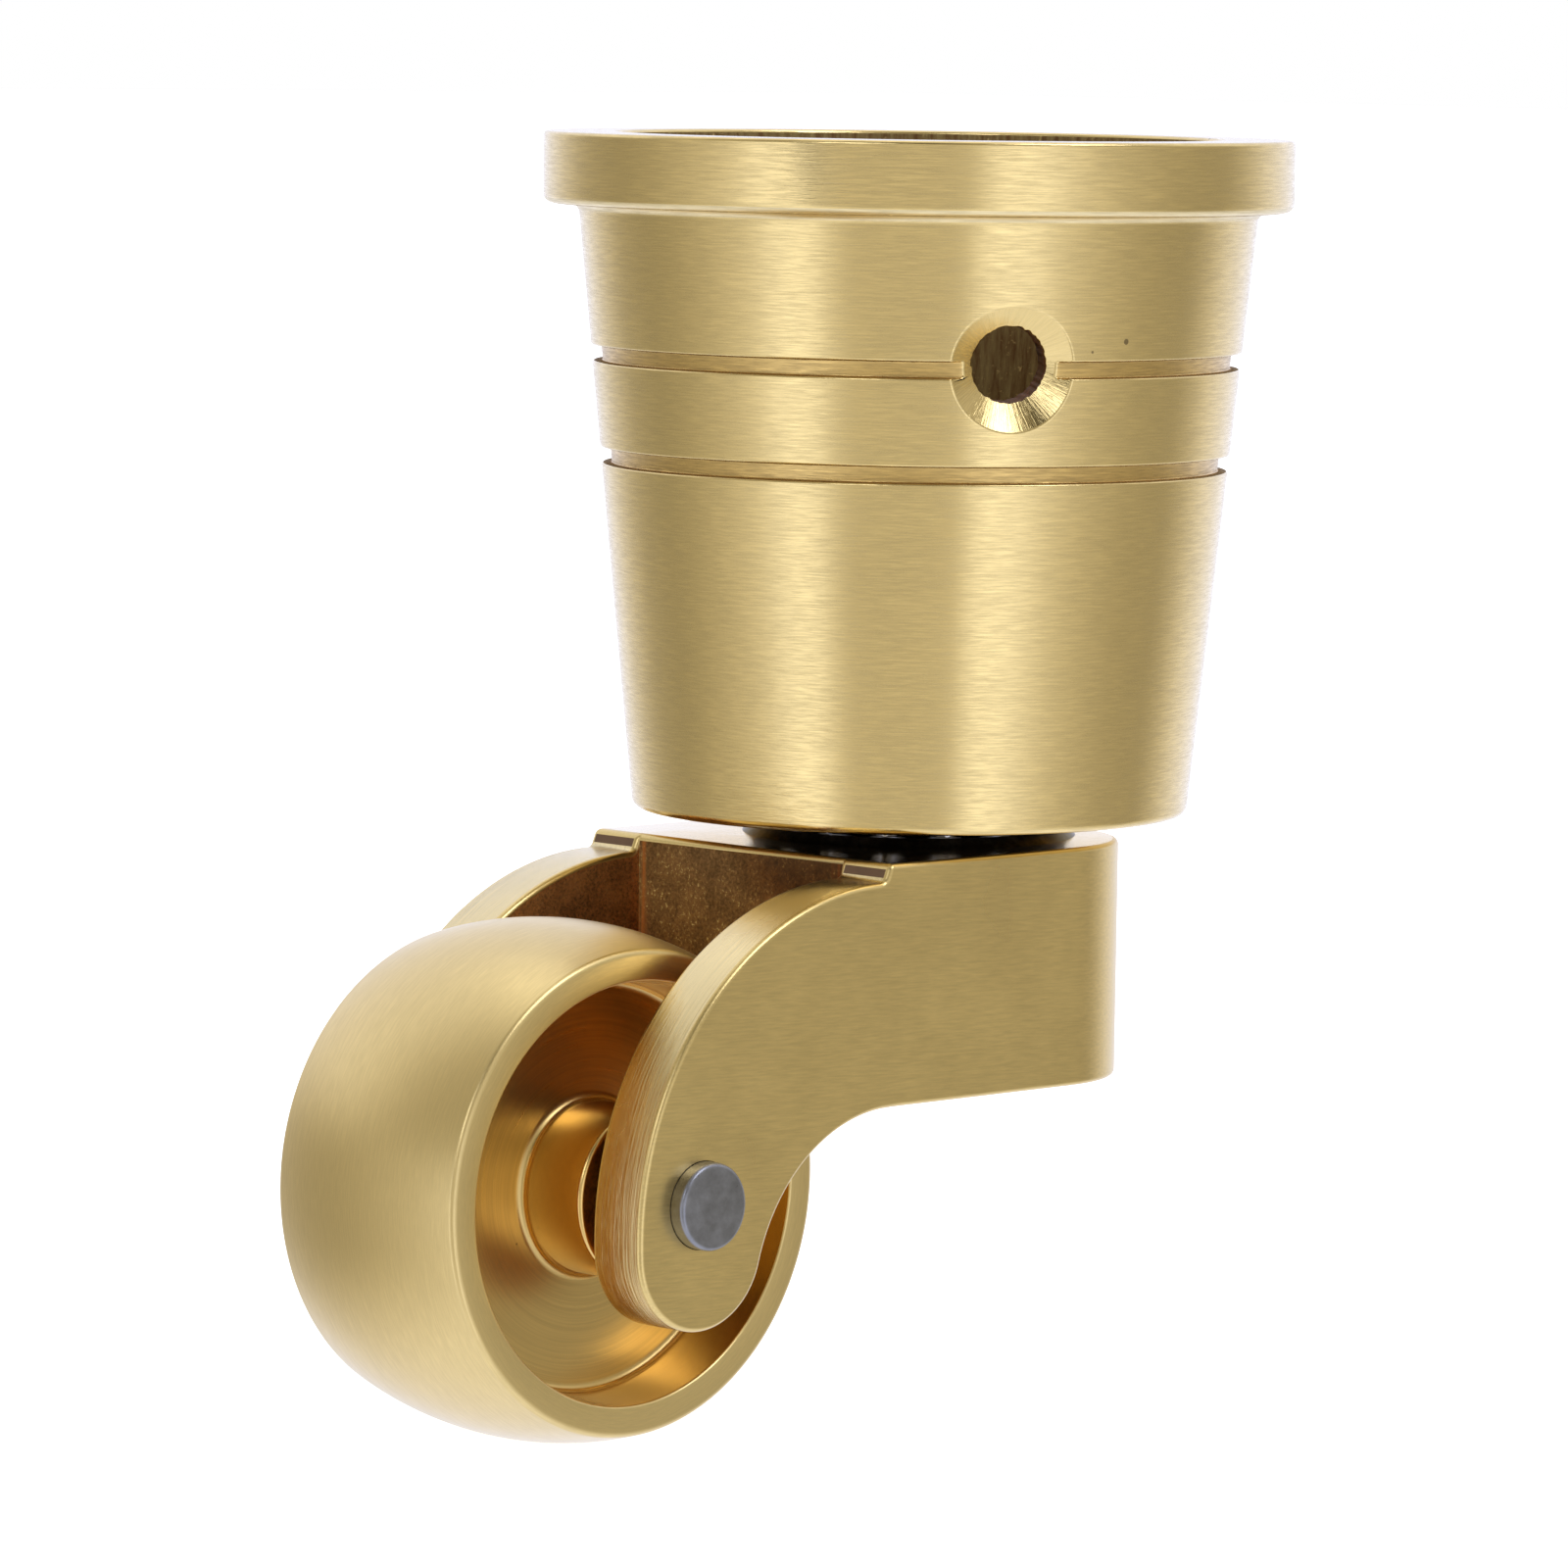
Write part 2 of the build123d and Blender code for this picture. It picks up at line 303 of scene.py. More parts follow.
def loose(bm, name, materials):
    """An object from a finished mesh, with its finishes."""
    mesh = bpy.data.meshes.new(name)
    bm.to_mesh(mesh)
    bm.free()
    for material in materials:
        mesh.materials.append(material)
    made = bpy.data.objects.new(name, mesh)
    bpy.context.scene.collection.objects.link(made)
    return made


def finished(bm, name, materials, body, replaced):
    """Make an object from a finished mesh, shade it, and set it on its body of the frame."""
    piece = loose(bm, name, materials)
    even_out(piece, SMOOTH_ANGLE)
    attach(piece, body)
    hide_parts(*replaced)
    return piece


def settle(piece):
    """Apply a piece's modifiers."""
    depsgraph = bpy.context.evaluated_depsgraph_get()
    mesh = bpy.data.meshes.new_from_object(piece.evaluated_get(depsgraph), depsgraph=depsgraph)
    piece.modifiers.clear()
    piece.data = mesh


def weld(piece, distance):
    """Merge corners of a piece that lie at one place, and drop what has no size left."""
    bm = bmesh.new()
    bm.from_mesh(piece.data)
    bmesh.ops.remove_doubles(bm, verts=bm.verts[:], dist=distance)
    bmesh.ops.dissolve_degenerate(bm, edges=bm.edges[:], dist=1e-7)
    bm.to_mesh(piece.data)
    bm.free()


def carve(piece, cutters):
    """Cut other solids out of a piece, keep their finishes on the cut faces, and take them away."""
    for cutter in cutters:
        cut = piece.modifiers.new("Cut", "BOOLEAN")
        cut.operation = "DIFFERENCE"
        cut.solver = "EXACT"
        cut.material_mode = "TRANSFER"
        cut.object = cutter
    settle(piece)
    for cutter in cutters:
        bpy.data.objects.remove(cutter)


# Node helpers


def fill(tree, node, values):
    """Fill a node's inputs with values or with other nodes' outputs."""
    for key, value in values.items():
        if isinstance(value, bpy.types.NodeSocket):
            tree.links.new(value, node.inputs[key])
        else:
            node.inputs[key].default_value = value


def add(tree, kind, inputs=None, **options):
    """Add a node, set its options and fill its inputs."""
    made = tree.nodes.new(kind)
    for key, value in options.items():
        setattr(made, key, value)
    fill(tree, made, inputs or {})
    return made


def maths(tree, operation, first, second=0.0):
    """One step of arithmetic."""
    return add(tree, "ShaderNodeMath", {0: first, 1: second}, operation=operation).outputs[0]


def stretch(tree, value, low, high, to_low=0.0, to_high=1.0):
    """Map a range of values to another, clamped."""
    return add(
        tree,
        "ShaderNodeMapRange",
        {"Value": value, "From Min": low, "From Max": high, "To Min": to_low, "To Max": to_high},
    ).outputs["Result"]


def blend_values(tree, amount, first, second):
    """Mix two numbers."""
    return add(tree, "ShaderNodeMix", {0: amount, 2: first, 3: second}, data_type="FLOAT").outputs[0]


def blend_colours(tree, amount, first, second, blend_type="MIX"):
    """Mix two colours."""
    first, second = (c if isinstance(c, bpy.types.NodeSocket) else (*c, 1.0) for c in (first, second))
    inputs = {0: amount, 6: first, 7: second}
    return add(tree, "ShaderNodeMix", inputs, data_type="RGBA", blend_type=blend_type).outputs[2]


def toned(base, *factors):
    """A colour times one factor, or times one for each channel."""
    return tuple(c * f for c, f in zip(base, factors if len(factors) == 3 else factors * 3))


def xyz(tree, x, y, z=0.0):
    """A vector from its three parts."""
    return add(tree, "ShaderNodeCombineXYZ", {0: x, 1: y, 2: z}).outputs[0]


def parts_of(tree, vector):
    """The three parts of a vector."""
    return add(tree, "ShaderNodeSeparateXYZ", {0: vector}).outputs


def grain(tree, vector, scale, detail=2.0, roughness=0.5, distortion=0.0):
    """Soft noise between 0 and 1."""
    return add(
        tree,
        "ShaderNodeTexNoise",
        {"Vector": vector, "Scale": scale, "Detail": detail, "Roughness": roughness, "Distortion": distortion},
    ).outputs["Fac"]


def group_of(name, inputs, outputs):
    """Start a node group with named float or vector sockets."""
    tree = bpy.data.node_groups.new(name, "ShaderNodeTree")
    for socket, kind, default in inputs:
        made = tree.interface.new_socket(socket, in_out="INPUT", socket_type=kind)
        if default is not None:
            made.default_value = default
    for socket in outputs:
        tree.interface.new_socket(socket, in_out="OUTPUT", socket_type="NodeSocketFloat")
    return tree, tree.nodes.new("NodeGroupInput").outputs, tree.nodes.new("NodeGroupOutput").inputs


def lathe_marks_group():
    """Fine brush strokes and broader tool rings that run round the local Z axis."""
    tree, given, out = group_of(
        "lathe_marks",
        [
            ("Vector", "NodeSocketVector", None),
            ("Stroke Density", "NodeSocketFloat", 9000.0),
            ("Strokes Round", "NodeSocketFloat", 5.0),
            ("Ring Density", "NodeSocketFloat", 1400.0),
        ],
        ["Strokes", "Rings"],
    )
    parts = parts_of(tree, given["Vector"])
    flat = xyz(tree, parts[0], parts[1])
    radius = add(tree, "ShaderNodeVectorMath", {0: flat}, operation="LENGTH").outputs["Value"]
    around = add(tree, "ShaderNodeVectorMath", {0: flat}, operation="NORMALIZE").outputs[0]
    turn = parts_of(tree, around)
    # The marks count along a slant, so that they run round on faces of any slope
    slant = 0.83
    rings_round = 0.6
    along = maths(tree, "ADD", parts[2], maths(tree, "MULTIPLY", radius, slant))
    for socket, density, spread in (
        ("Strokes", given["Stroke Density"], given["Strokes Round"]),
        ("Rings", given["Ring Density"], rings_round),
    ):
        place = xyz(
            tree,
            maths(tree, "MULTIPLY", turn[0], spread),
            maths(tree, "MULTIPLY", turn[1], spread),
            maths(tree, "MULTIPLY", along, density),
        )
        tree.links.new(grain(tree, place, 1.0, detail=3.0, roughness=0.65), out[socket])
    return tree


def straight_marks_group():
    """Fine, nearly straight brush strokes along the direction with the smallest scale."""
    tree, given, out = group_of(
        "straight_marks",
        [
            ("Vector", "NodeSocketVector", None),
            ("Scale", "NodeSocketVector", None),
        ],
        ["Strokes", "Drift"],
    )
    place = add(tree, "ShaderNodeVectorMath", {0: given["Vector"], 1: given["Scale"]}, operation="MULTIPLY").outputs[0]
    tree.links.new(grain(tree, place, 1.0, detail=3.0, roughness=0.65), out["Strokes"])
    tree.links.new(grain(tree, given["Vector"], 160.0, detail=3.0, roughness=0.6), out["Drift"])
    return tree


def pits_group():
    """Rare small pits and soft clouds scattered over a surface."""
    tree, given, out = group_of(
        "pits", [("Vector", "NodeSocketVector", None), ("Pit Density", "NodeSocketFloat", 420.0)], ["Pits", "Clouds"]
    )
    cells = add(tree, "ShaderNodeTexVoronoi", {"Vector": given["Vector"], "Scale": given["Pit Density"]})
    chosen = add(tree, "ShaderNodeSeparateColor", {0: cells.outputs["Color"]}).outputs
    # Three cells in a hundred hold a pit, up to a tenth of the cell across
    size = stretch(tree, chosen[0], 0.97, 1.0, 0.0, 0.10)
    tree.links.new(maths(tree, "LESS_THAN", cells.outputs["Distance"], size), out["Pits"])
    tree.links.new(grain(tree, given["Vector"], 70.0, detail=4.0, roughness=0.6), out["Clouds"])
    return tree


def cast_skin_group():
    """Rough skin of a casting with bright specks on its high points."""
    tree, given, out = group_of(
        "cast_skin", [("Vector", "NodeSocketVector", None), ("Scale", "NodeSocketFloat", 4500.0)], ["Height", "Specks"]
    )
    bumps = grain(tree, given["Vector"], given["Scale"], detail=4.0, roughness=0.7, distortion=0.6)
    wide = grain(tree, given["Vector"], 500.0, detail=3.0, roughness=0.6)
    tree.links.new(maths(tree, "ADD", bumps, maths(tree, "MULTIPLY", wide, 0.6)), out["Height"])
    high_points = stretch(tree, bumps, 0.60, 0.66)
    patches = stretch(tree, wide, 0.40, 0.56)
    tree.links.new(maths(tree, "MULTIPLY", high_points, patches), out["Specks"])
    return tree


def placed(tree, name, values):
    """Place a shared effect in a material with its own values."""
    made = tree.nodes.new("ShaderNodeGroup")
    made.node_tree = bpy.data.node_groups[name]
    fill(tree, made, values)
    return made.outputs


# Finishes

# Colours inside small pits, of the red streaks near the slot's corners, and how strongly a pit shows
BRASS_PIT = (0.10, 0.06, 0.02)
STEEL_PIT = (0.03, 0.03, 0.03)
RED_STREAK = (0.50, 0.17, 0.04)
PIT_SHARE = 0.7
PIT_DEPTH = 1.5


def metal(name, roughness, metallic=1.0, lacquer=0.0):
    """Start a metal material and give back its tree, its shader and its object coordinates."""
    material = bpy.data.materials.new(name)
    material.use_nodes = True
    tree = material.node_tree
    shader = tree.nodes["Principled BSDF"]
    shader.inputs["Metallic"].default_value = metallic
    shader.inputs["Roughness"].default_value = roughness
    shader.inputs["Coat Weight"].default_value = lacquer
    shader.inputs["Coat Roughness"].default_value = 0.3
    place = add(tree, "ShaderNodeTexCoord").outputs["Object"]
    return material, tree, shader, place


def plain(name, base, roughness, metallic, glow=0.0):
    """A finish of one colour, which may give off some light of its own."""
    material, _, shader, _ = metal(name, roughness, metallic)
    shader.inputs["Base Color"].default_value = (*base, 1.0)
    if glow:
        shader.inputs["Emission Color"].default_value = (*base, 1.0)
        shader.inputs["Emission Strength"].default_value = glow
    return material


def shaded(tree, base, shade):
    """A colour made lighter and darker by a factor near 1."""
    return blend_colours(tree, 1.0, tuple(base), xyz(tree, shade, shade, shade), "MULTIPLY")


def relief(tree, shader, height, distance):
    """Drive a shader's normal from a height."""
    bump = add(tree, "ShaderNodeBump", {"Height": height, "Distance": distance})
    tree.links.new(bump.outputs[0], shader.inputs["Normal"])


def pitted(tree, wear, lit, pit, share=PIT_SHARE):
    """A colour with pits in it."""
    return blend_colours(tree, maths(tree, "MULTIPLY", wear["Pits"], share), lit, pit)


def sunk_pits(tree, wear, height):
    """A height with pits in it."""
    return maths(tree, "SUBTRACT", height, maths(tree, "MULTIPLY", wear["Pits"], PIT_DEPTH))


def local_to(tree, place, middle, turn):
    """Coordinates moved to a middle and turned."""
    moved = add(tree, "ShaderNodeMapping", {"Vector": place, "Location": tuple(-Vector(middle))}).outputs[0]
    return add(tree, "ShaderNodeMapping", {"Vector": moved, "Rotation": turn}).outputs[0]


def turned_brass(
    name, base, roughness, middle=(0, 0, 0), turn=(0, 0, 0), spread=11.0, rings=2600.0, ring_weight=0.12,
    contrast=0.17, distance=1.1e-5, flecks=0.09,
):
    """Satin brass with marks that run round an axis; the marks' bright peaks are painted glints."""
    material, tree, shader, place = metal(name, roughness, lacquer=0.6)
    marks = placed(
        tree,
        "lathe_marks",
        {
            "Vector": local_to(tree, place, middle, turn),
            "Stroke Density": 9500.0,
            "Strokes Round": spread,
            "Ring Density": rings,
        },
    )
    wear = placed(tree, "pits", {"Vector": place})
    tone = maths(
        tree,
        "ADD",
        maths(tree, "MULTIPLY", marks["Strokes"], 1 - ring_weight),
        maths(tree, "MULTIPLY", marks["Rings"], ring_weight),
    )
    # The marks lighten more than they darken: their bright peaks are painted glints for the brushing's sparkle
    shade = stretch(tree, tone, 0.4, 0.72, 1 - 0.45 * contrast, 1 + 1.25 * contrast)
    clouds = stretch(tree, wear["Clouds"], 0.3, 0.7, 0.97, 1.03)
    lit = shaded(tree, base, maths(tree, "MULTIPLY", shade, clouds))
    tree.links.new(pitted(tree, wear, lit, BRASS_PIT), shader.inputs["Base Color"])
    gloss = stretch(tree, tone, 0.35, 0.65, roughness + flecks, roughness - flecks)
    tree.links.new(gloss, shader.inputs["Roughness"])
    relief(tree, shader, sunk_pits(tree, wear, tone), distance)
    return material


def flat_brass(name, base, roughness, scale, turn=(0, 0, 0), contrast=0.07, distance=6e-6):
    """Satin brass with straight brush strokes."""
    material, tree, shader, place = metal(name, roughness, lacquer=0.5)
    local = add(tree, "ShaderNodeMapping", {"Vector": place, "Rotation": turn}).outputs[0]
    marks = placed(tree, "straight_marks", {"Vector": local, "Scale": scale})
    wear = placed(tree, "pits", {"Vector": place, "Pit Density": 700.0})
    shade = maths(
        tree,
        "MULTIPLY",
        stretch(tree, marks["Strokes"], 0.3, 0.7, 1 - contrast, 1 + contrast),
        stretch(tree, marks["Drift"], 0.3, 0.7, 0.96, 1.04),
    )
    lit = shaded(tree, base, shade)
    tree.links.new(pitted(tree, wear, lit, BRASS_PIT), shader.inputs["Base Color"])
    gloss = stretch(tree, marks["Drift"], 0.3, 0.7, roughness - 0.03, roughness + 0.04)
    tree.links.new(gloss, shader.inputs["Roughness"])
    relief(tree, shader, sunk_pits(tree, wear, marks["Strokes"]), distance)
    return material


def cast_brass(name, base, dark, corner):
    """Rough brown brass left from the casting, with gold specks, and red streaks where |y| comes near a corner."""
    material, tree, shader, place = metal(name, 0.42)
    skin = placed(tree, "cast_skin", {"Vector": place})
    upright = add(tree, "ShaderNodeMapping", {"Vector": place, "Scale": (2600.0, 2600.0, 70.0)}).outputs[0]
    streaks = stretch(tree, grain(tree, upright, 1.0), 0.42, 0.62)
    out = maths(tree, "ABSOLUTE", parts_of(tree, place)[1])
    near_corner = maths(tree, "MULTIPLY", stretch(tree, out, corner - 0.0011, corner - 0.0002), streaks)
    grit = stretch(tree, skin["Height"], 0.6, 1.0)
    ground = blend_colours(tree, grit, toned(dark, 0.4), toned(dark, 1.15))
    ground = blend_colours(tree, near_corner, ground, RED_STREAK)
    tree.links.new(blend_colours(tree, skin["Specks"], ground, tuple(base)), shader.inputs["Base Color"])
    relief(tree, shader, skin["Height"], 2.5e-5)
    return material


def dark_bore(name, base, dark):
    """Brown bored brass with upright streaks and grit, for the inside of the cup: the casting's own dark brown,
    darkened further as painted shade.
    """
    material, tree, shader, place = metal(name, 0.6, 0.6)
    shader.inputs["Specular IOR Level"].default_value = 0.1
    upright = add(tree, "ShaderNodeMapping", {"Vector": place, "Scale": (2600.0, 2600.0, 260.0)}).outputs[0]
    streaks = grain(tree, upright, 1.0, detail=4.0, roughness=0.7)
    skin = placed(tree, "cast_skin", {"Vector": place, "Scale": 2600.0})
    ground = blend_colours(tree, stretch(tree, streaks, 0.35, 0.7), toned(dark, 0.7), toned(base, 0.55))
    specks = maths(tree, "MULTIPLY", skin["Specks"], 0.8)
    tree.links.new(blend_colours(tree, specks, ground, tuple(base)), shader.inputs["Base Color"])
    relief(tree, shader, streaks, 2e-5)
    return material


def countersunk_brass(name, base, middle, outward):
    """Bright brass of a countersink with fine chatter marks that fan out from its middle."""
    material, tree, shader, place = metal(name, 0.13, lacquer=0.4)
    face = Vector(outward).to_track_quat("Z", "Y").to_matrix().transposed()
    local = local_to(tree, place, middle, tuple(face.to_euler()))
    parts = parts_of(tree, local)
    angle = maths(tree, "ARCTAN2", parts[1], parts[0])
    reach = add(tree, "ShaderNodeVectorMath", {0: local}, operation="LENGTH").outputs["Value"]
    marks_round, marks_out = 34.0, 500.0
    fan = xyz(tree, maths(tree, "MULTIPLY", angle, marks_round), maths(tree, "MULTIPLY", reach, marks_out))
    chatter = grain(tree, fan, 1.0, detail=3.0, roughness=0.6)
    shade = stretch(tree, chatter, 0.3, 0.7, 0.93, 1.07)
    tree.links.new(shaded(tree, base, shade), shader.inputs["Base Color"])
    relief(tree, shader, chatter, 2e-5)
    return material


def steel(name, base, roughness=0.32):
    """Satin steel with faint clouds and specks."""
    material, tree, shader, place = metal(name, roughness)
    clouds = grain(tree, place, 900.0, detail=4.0, roughness=0.65)
    wear = placed(tree, "pits", {"Vector": place, "Pit Density": 1500.0})
    lit = blend_colours(tree, stretch(tree, clouds, 0.3, 0.7), toned(base, 0.8), toned(base, 1.15))
    tree.links.new(pitted(tree, wear, lit, STEEL_PIT, 0.6), shader.inputs["Base Color"])
    gloss = stretch(tree, clouds, 0.3, 0.7, roughness - 0.05, roughness + 0.1)
    tree.links.new(gloss, shader.inputs["Roughness"])
    relief(tree, shader, clouds, 1e-5)
    return material


def blackened(name, base):
    """Blackened steel with a faint sheen on its turned marks."""
    material, tree, shader, place = metal(name, 0.3, lacquer=0.1)
    marks = placed(tree, "lathe_marks", {"Vector": place, "Stroke Density": 6000.0, "Strokes Round": 9.0})
    sheen = stretch(tree, marks["Strokes"], 0.45, 0.75)
    tree.links.new(blend_colours(tree, sheen, toned(base, 1.5), toned(base, 5)), shader.inputs["Base Color"])
    relief(tree, shader, marks["Strokes"], 1e-5)
    return material


class CASTOR_OT_finishes(Operator):
    """Build the shared effects that the finishes use"""

    bl_idname = "castor.finishes"
    bl_label = "Finishes"

    def execute(self, context):
        lathe_marks_group()
        straight_marks_group()
        pits_group()
        cast_skin_group()
        return {"FINISHED"}


# Cup

# Finishes of the cup, by their place in its list
WALL, BORED, GROOVE_FLOOR, GROOVE_SIDE, RIM_UNDERSIDE = range(5)
# Finishes of a screw hole's drill, by their place in its list
COUNTERSINK, DRILLED, HOLE_EDGE = range(3)
# Roundings of the cup's section
FLOOR_FILLET, MOUTH_EDGE, RIM_EDGE, RIM_FILLET = 0.0004, 0.0002, 0.00025, 0.0006
GROOVE_LIP, GROOVE_FOOT, BODY_EDGE, SEAT_EDGE = 0.00016, 0.0001, 0.0005, 0.0001
# The screw holes stand this far above the middle of the upper groove
SCREW_LIFT = 0.00017


def body_radius(cup, drop):
    """Outer radius of the tapered wall at a distance below the mouth."""
    share = (drop - cup.rim_height) / (-CUP_LOW.z - cup.rim_height)
    return (cup.body_top_diameter * (1 - share) + cup.body_bottom_diameter * share) / 2


def wall_taper(cup):
    """How much the wall's radius shrinks for each metre down."""
    return (cup.body_top_diameter - cup.body_bottom_diameter) / 2 / (-CUP_LOW.z - cup.rim_height)


def cup_outline(cup, bearing):
    """Half of the cup's section, as corners of radius, height and rounding."""
    bottom, rim = CUP_LOW.z, cup.rim_diameter / 2
    floor = bottom + cup.floor_thickness
    bore = bearing.pin_diameter / 2 + TURNING_PLAY
    seat = bearing.hub_diameter / 2 + SEAT_PLAY
    outline = [
        (bore, floor, 0),
        (body_radius(cup, -floor) - cup.wall_at_floor, floor, FLOOR_FILLET),
        (cup.mouth_diameter / 2, 0, MOUTH_EDGE),
        (rim, 0, RIM_EDGE),
        (rim, -cup.rim_height, RIM_FILLET),
        (cup.body_top_diameter / 2, -cup.rim_height, RIM_FILLET),
    ]
    for drop in (cup.upper_groove, cup.lower_groove):
        for edge in (drop - cup.groove_width / 2, drop + cup.groove_width / 2):
            wall = body_radius(cup, edge)
            pair = [(wall, -edge, GROOVE_LIP), (wall - cup.groove_depth, -edge, GROOVE_FOOT)]
            outline += pair if edge < drop else reversed(pair)
    return outline + [
        (cup.body_bottom_diameter / 2, bottom, BODY_EDGE),
        (seat, bottom, SEAT_EDGE),
        (seat, bottom + bearing.seat_depth, 0),
        (bore, bottom + bearing.seat_depth, 0),
    ]


def cup_finish(cup, face):
    """Which of the cup's finishes a face takes."""
    middle = face.calc_center_median()
    outward = Vector((middle.x, middle.y, 0))
    floor, mouth = CUP_LOW.z + cup.floor_thickness - 1e-5, -0.0003
    if floor < middle.z < mouth and face.normal.dot(outward) < 0.3 * outward.length:
        return BORED
    by_groove = any(abs(middle.z + drop) < cup.groove_width for drop in (cup.upper_groove, cup.lower_groove))
    if by_groove and body_radius(cup, -middle.z) - outward.length > 0.00009:
        # The upward lower side of a groove takes a painted reflection and shade, its floor painted shade
        return GROOVE_SIDE if face.normal.z > 0.5 else GROOVE_FLOOR
    # The rim's downward underside takes paler brass, a painted reflection of the bright floor below
    if face.normal.z < -0.45 and abs(middle.z + cup.rim_height) < 0.0005:
        return RIM_UNDERSIDE
    return WALL


def screw_drill(cup, index, mouth, outward, finishes):
    """A drill with its countersink, in its place in the wall."""
    hole, sink = cup.hole_diameter / 2, cup.sink_diameter / 2
    slope = tan(cup.sink_angle / 2)
    cone = (sink - hole) / slope
    depth = body_radius(cup, cup.upper_groove) * 0.6
    # A narrow ring beside the hole keeps its burrs off the cone, and the cone goes on outside the wall
    ring, outside = 0.00016, 0.004
    bm = turned(
        [
            (0, -depth, 0),
            (hole, -depth, 0),
            (hole, -cone, 0),
            (hole + ring, ring / slope - cone, 0),
            (sink + outside * slope, outside, 0),
            (0, outside, 0),
        ],
        256,
    )
    for face in bm.faces:
        if face.calc_center_median().z > -cone - 2e-5:
            face.material_index = COUNTERSINK
        else:
            face.material_index = DRILLED if face.normal.z < -0.5 else HOLE_EDGE
    for vert in bm.verts:
        across = Vector((vert.co.x, vert.co.y, 0))
        if abs(across.length - hole) < 1e-5 and vert.co.z > -depth / 2:
            # The hole's edge is broken by burrs, coarse and fine
            burr = 0.5 * noise.noise(across * 900 + Vector((7, index, 0))) + noise.noise(across * 3600)
            vert.co += across.normalized() * (8e-5 * burr - 5e-5)
        elif vert.co.z > 0:
            # The countersink was cut a little askew: wider, and lower at its top
            vert.co.x *= 1.24
            vert.co.y = 0.87 * vert.co.y - 0.0007
    to_wall = outward.to_track_quat("Z", "Y").to_matrix().to_4x4()
    bmesh.ops.transform(bm, matrix=Matrix.Translation(mouth) @ to_wall, verts=bm.verts[:])
    return loose(bm, f"screw_hole_{index + 1}", finishes)


def turn_up_lips(piece, wall, countersinks):
    """Round the outer edge of each countersink."""
    bm = bmesh.new()
    bm.from_mesh(piece.data)
    in_order(bm)
    bmesh.ops.remove_doubles(bm, verts=bm.verts[:], dist=1.5e-5)
    in_order(bm)
    lips = [
        e for e in bm.edges
        if len(e.link_faces) == 2 and sum(f.material_index in countersinks for f in e.link_faces) == 1
        and Vector(e.verts[0].co.xy).length > wall - 0.001
    ]
    soften_edges(bm, lips, 9e-5, 2, WALL)
    bm.to_mesh(piece.data)
    bm.free()


def true_cup_normals(cup, mesh, drills, countersinks):
    """Give the tapered wall and the countersinks their true normals, so that the cuts leave no trace in their gloss."""
    tilt = cup.sink_angle / 2
    normals = [Vector(n.vector) for n in mesh.corner_normals]
    for face in mesh.polygons:
        places = [mesh.vertices[i].co for i in face.vertices]
        on_wall = all(abs(p.xy.length - body_radius(cup, -p.z)) < 1.2e-5 for p in places)
        if on_wall and max(p.z for p in places) < -cup.rim_height - 0.0005:
            for corner, p in zip(face.loop_indices, places):
                normals[corner] = Vector((*p.xy.normalized(), -wall_taper(cup))).normalized()
        elif face.material_index in countersinks:
            mouth, outward = min(drills, key=lambda drill: (drill[0] - places[0]).length)
            for corner, p in zip(face.loop_indices, places):
                inward = mouth - p - outward * outward.dot(mouth - p)
                normals[corner] = (outward * sin(tilt) + inward.normalized() * cos(tilt)).normalized()
    mesh.normals_split_custom_set(normals)


class CASTOR_OT_cup(Operator):
    """Turn the cup and drill its two countersunk screw holes"""

    bl_idname = "castor.cup"
    bl_label = "Cup"

    def execute(self, context):
        cup, bearing, finish = settings().cup, settings().bearing, settings().finish
        bm = turned(cup_outline(cup, bearing), cup.steps)
        for face in bm.faces:
            face.material_index = cup_finish(cup, face)
        # The cup's inside is the casting's brown, darkened further as painted shade
        bored = dark_bore("cup_bored_inside_painted_shade", finish.brass, finish.tarnish_and_shade)
        finishes = [
            turned_brass("cup_satin_brass", finish.brass, 0.2),
            bored,
            # The groove floor's darker, more orange brass is painted shade inside the groove
            turned_brass("groove_floor_painted_shade", toned(finish.brass, 0.85, 0.76, 0.6), 0.34, contrast=0.3),
            # Amber painted reflection of each groove's upper side, with its shade
            plain("groove_lower_side_painted_reflection", finish.groove_side_painted_reflection, 0.6, 0.25),
            # Brass paled by a power: painted reflection of the floor under the rim
            turned_brass("rim_underside_painted_reflection", tuple(c**0.7 for c in finish.brass), 0.4),
        ]
        piece = finished(bm, "cup", finishes, "cup", ["cup_socket"])

        # Dark red brown on the drilled wall: painted shade inside each screw hole
        edge = dark_bore("hole_red_edge_painted_shade", finish.hole_edge, toned(finish.tarnish_and_shade, 0.5))
        wall = body_radius(cup, cup.upper_groove)
        drills, cutters = [], []
        for index in range(2):
            angle = cup.screw_angle + pi * index
            outward = Vector((cos(angle), sin(angle), -wall_taper(cup))).normalized()
            mouth = Vector((cos(angle) * wall, sin(angle) * wall, SCREW_LIFT - cup.upper_groove))
            bright = countersunk_brass(f"countersink_brass_{index + 1}", finish.brass, mouth, outward)
            drills.append((mouth, outward))
            cutters.append(screw_drill(cup, index, mouth, outward, [bright, bored, edge]))
        carve(piece, cutters)
        countersinks = [i for i, m in enumerate(piece.data.materials) if m.name.startswith("countersink")]
        turn_up_lips(piece, wall, countersinks)
        even_out(piece, SMOOTH_ANGLE)
        settle(piece)
        true_cup_normals(cup, piece.data, drills, countersinks)
        return {"FINISHED"}


# Bearing and swivel pin


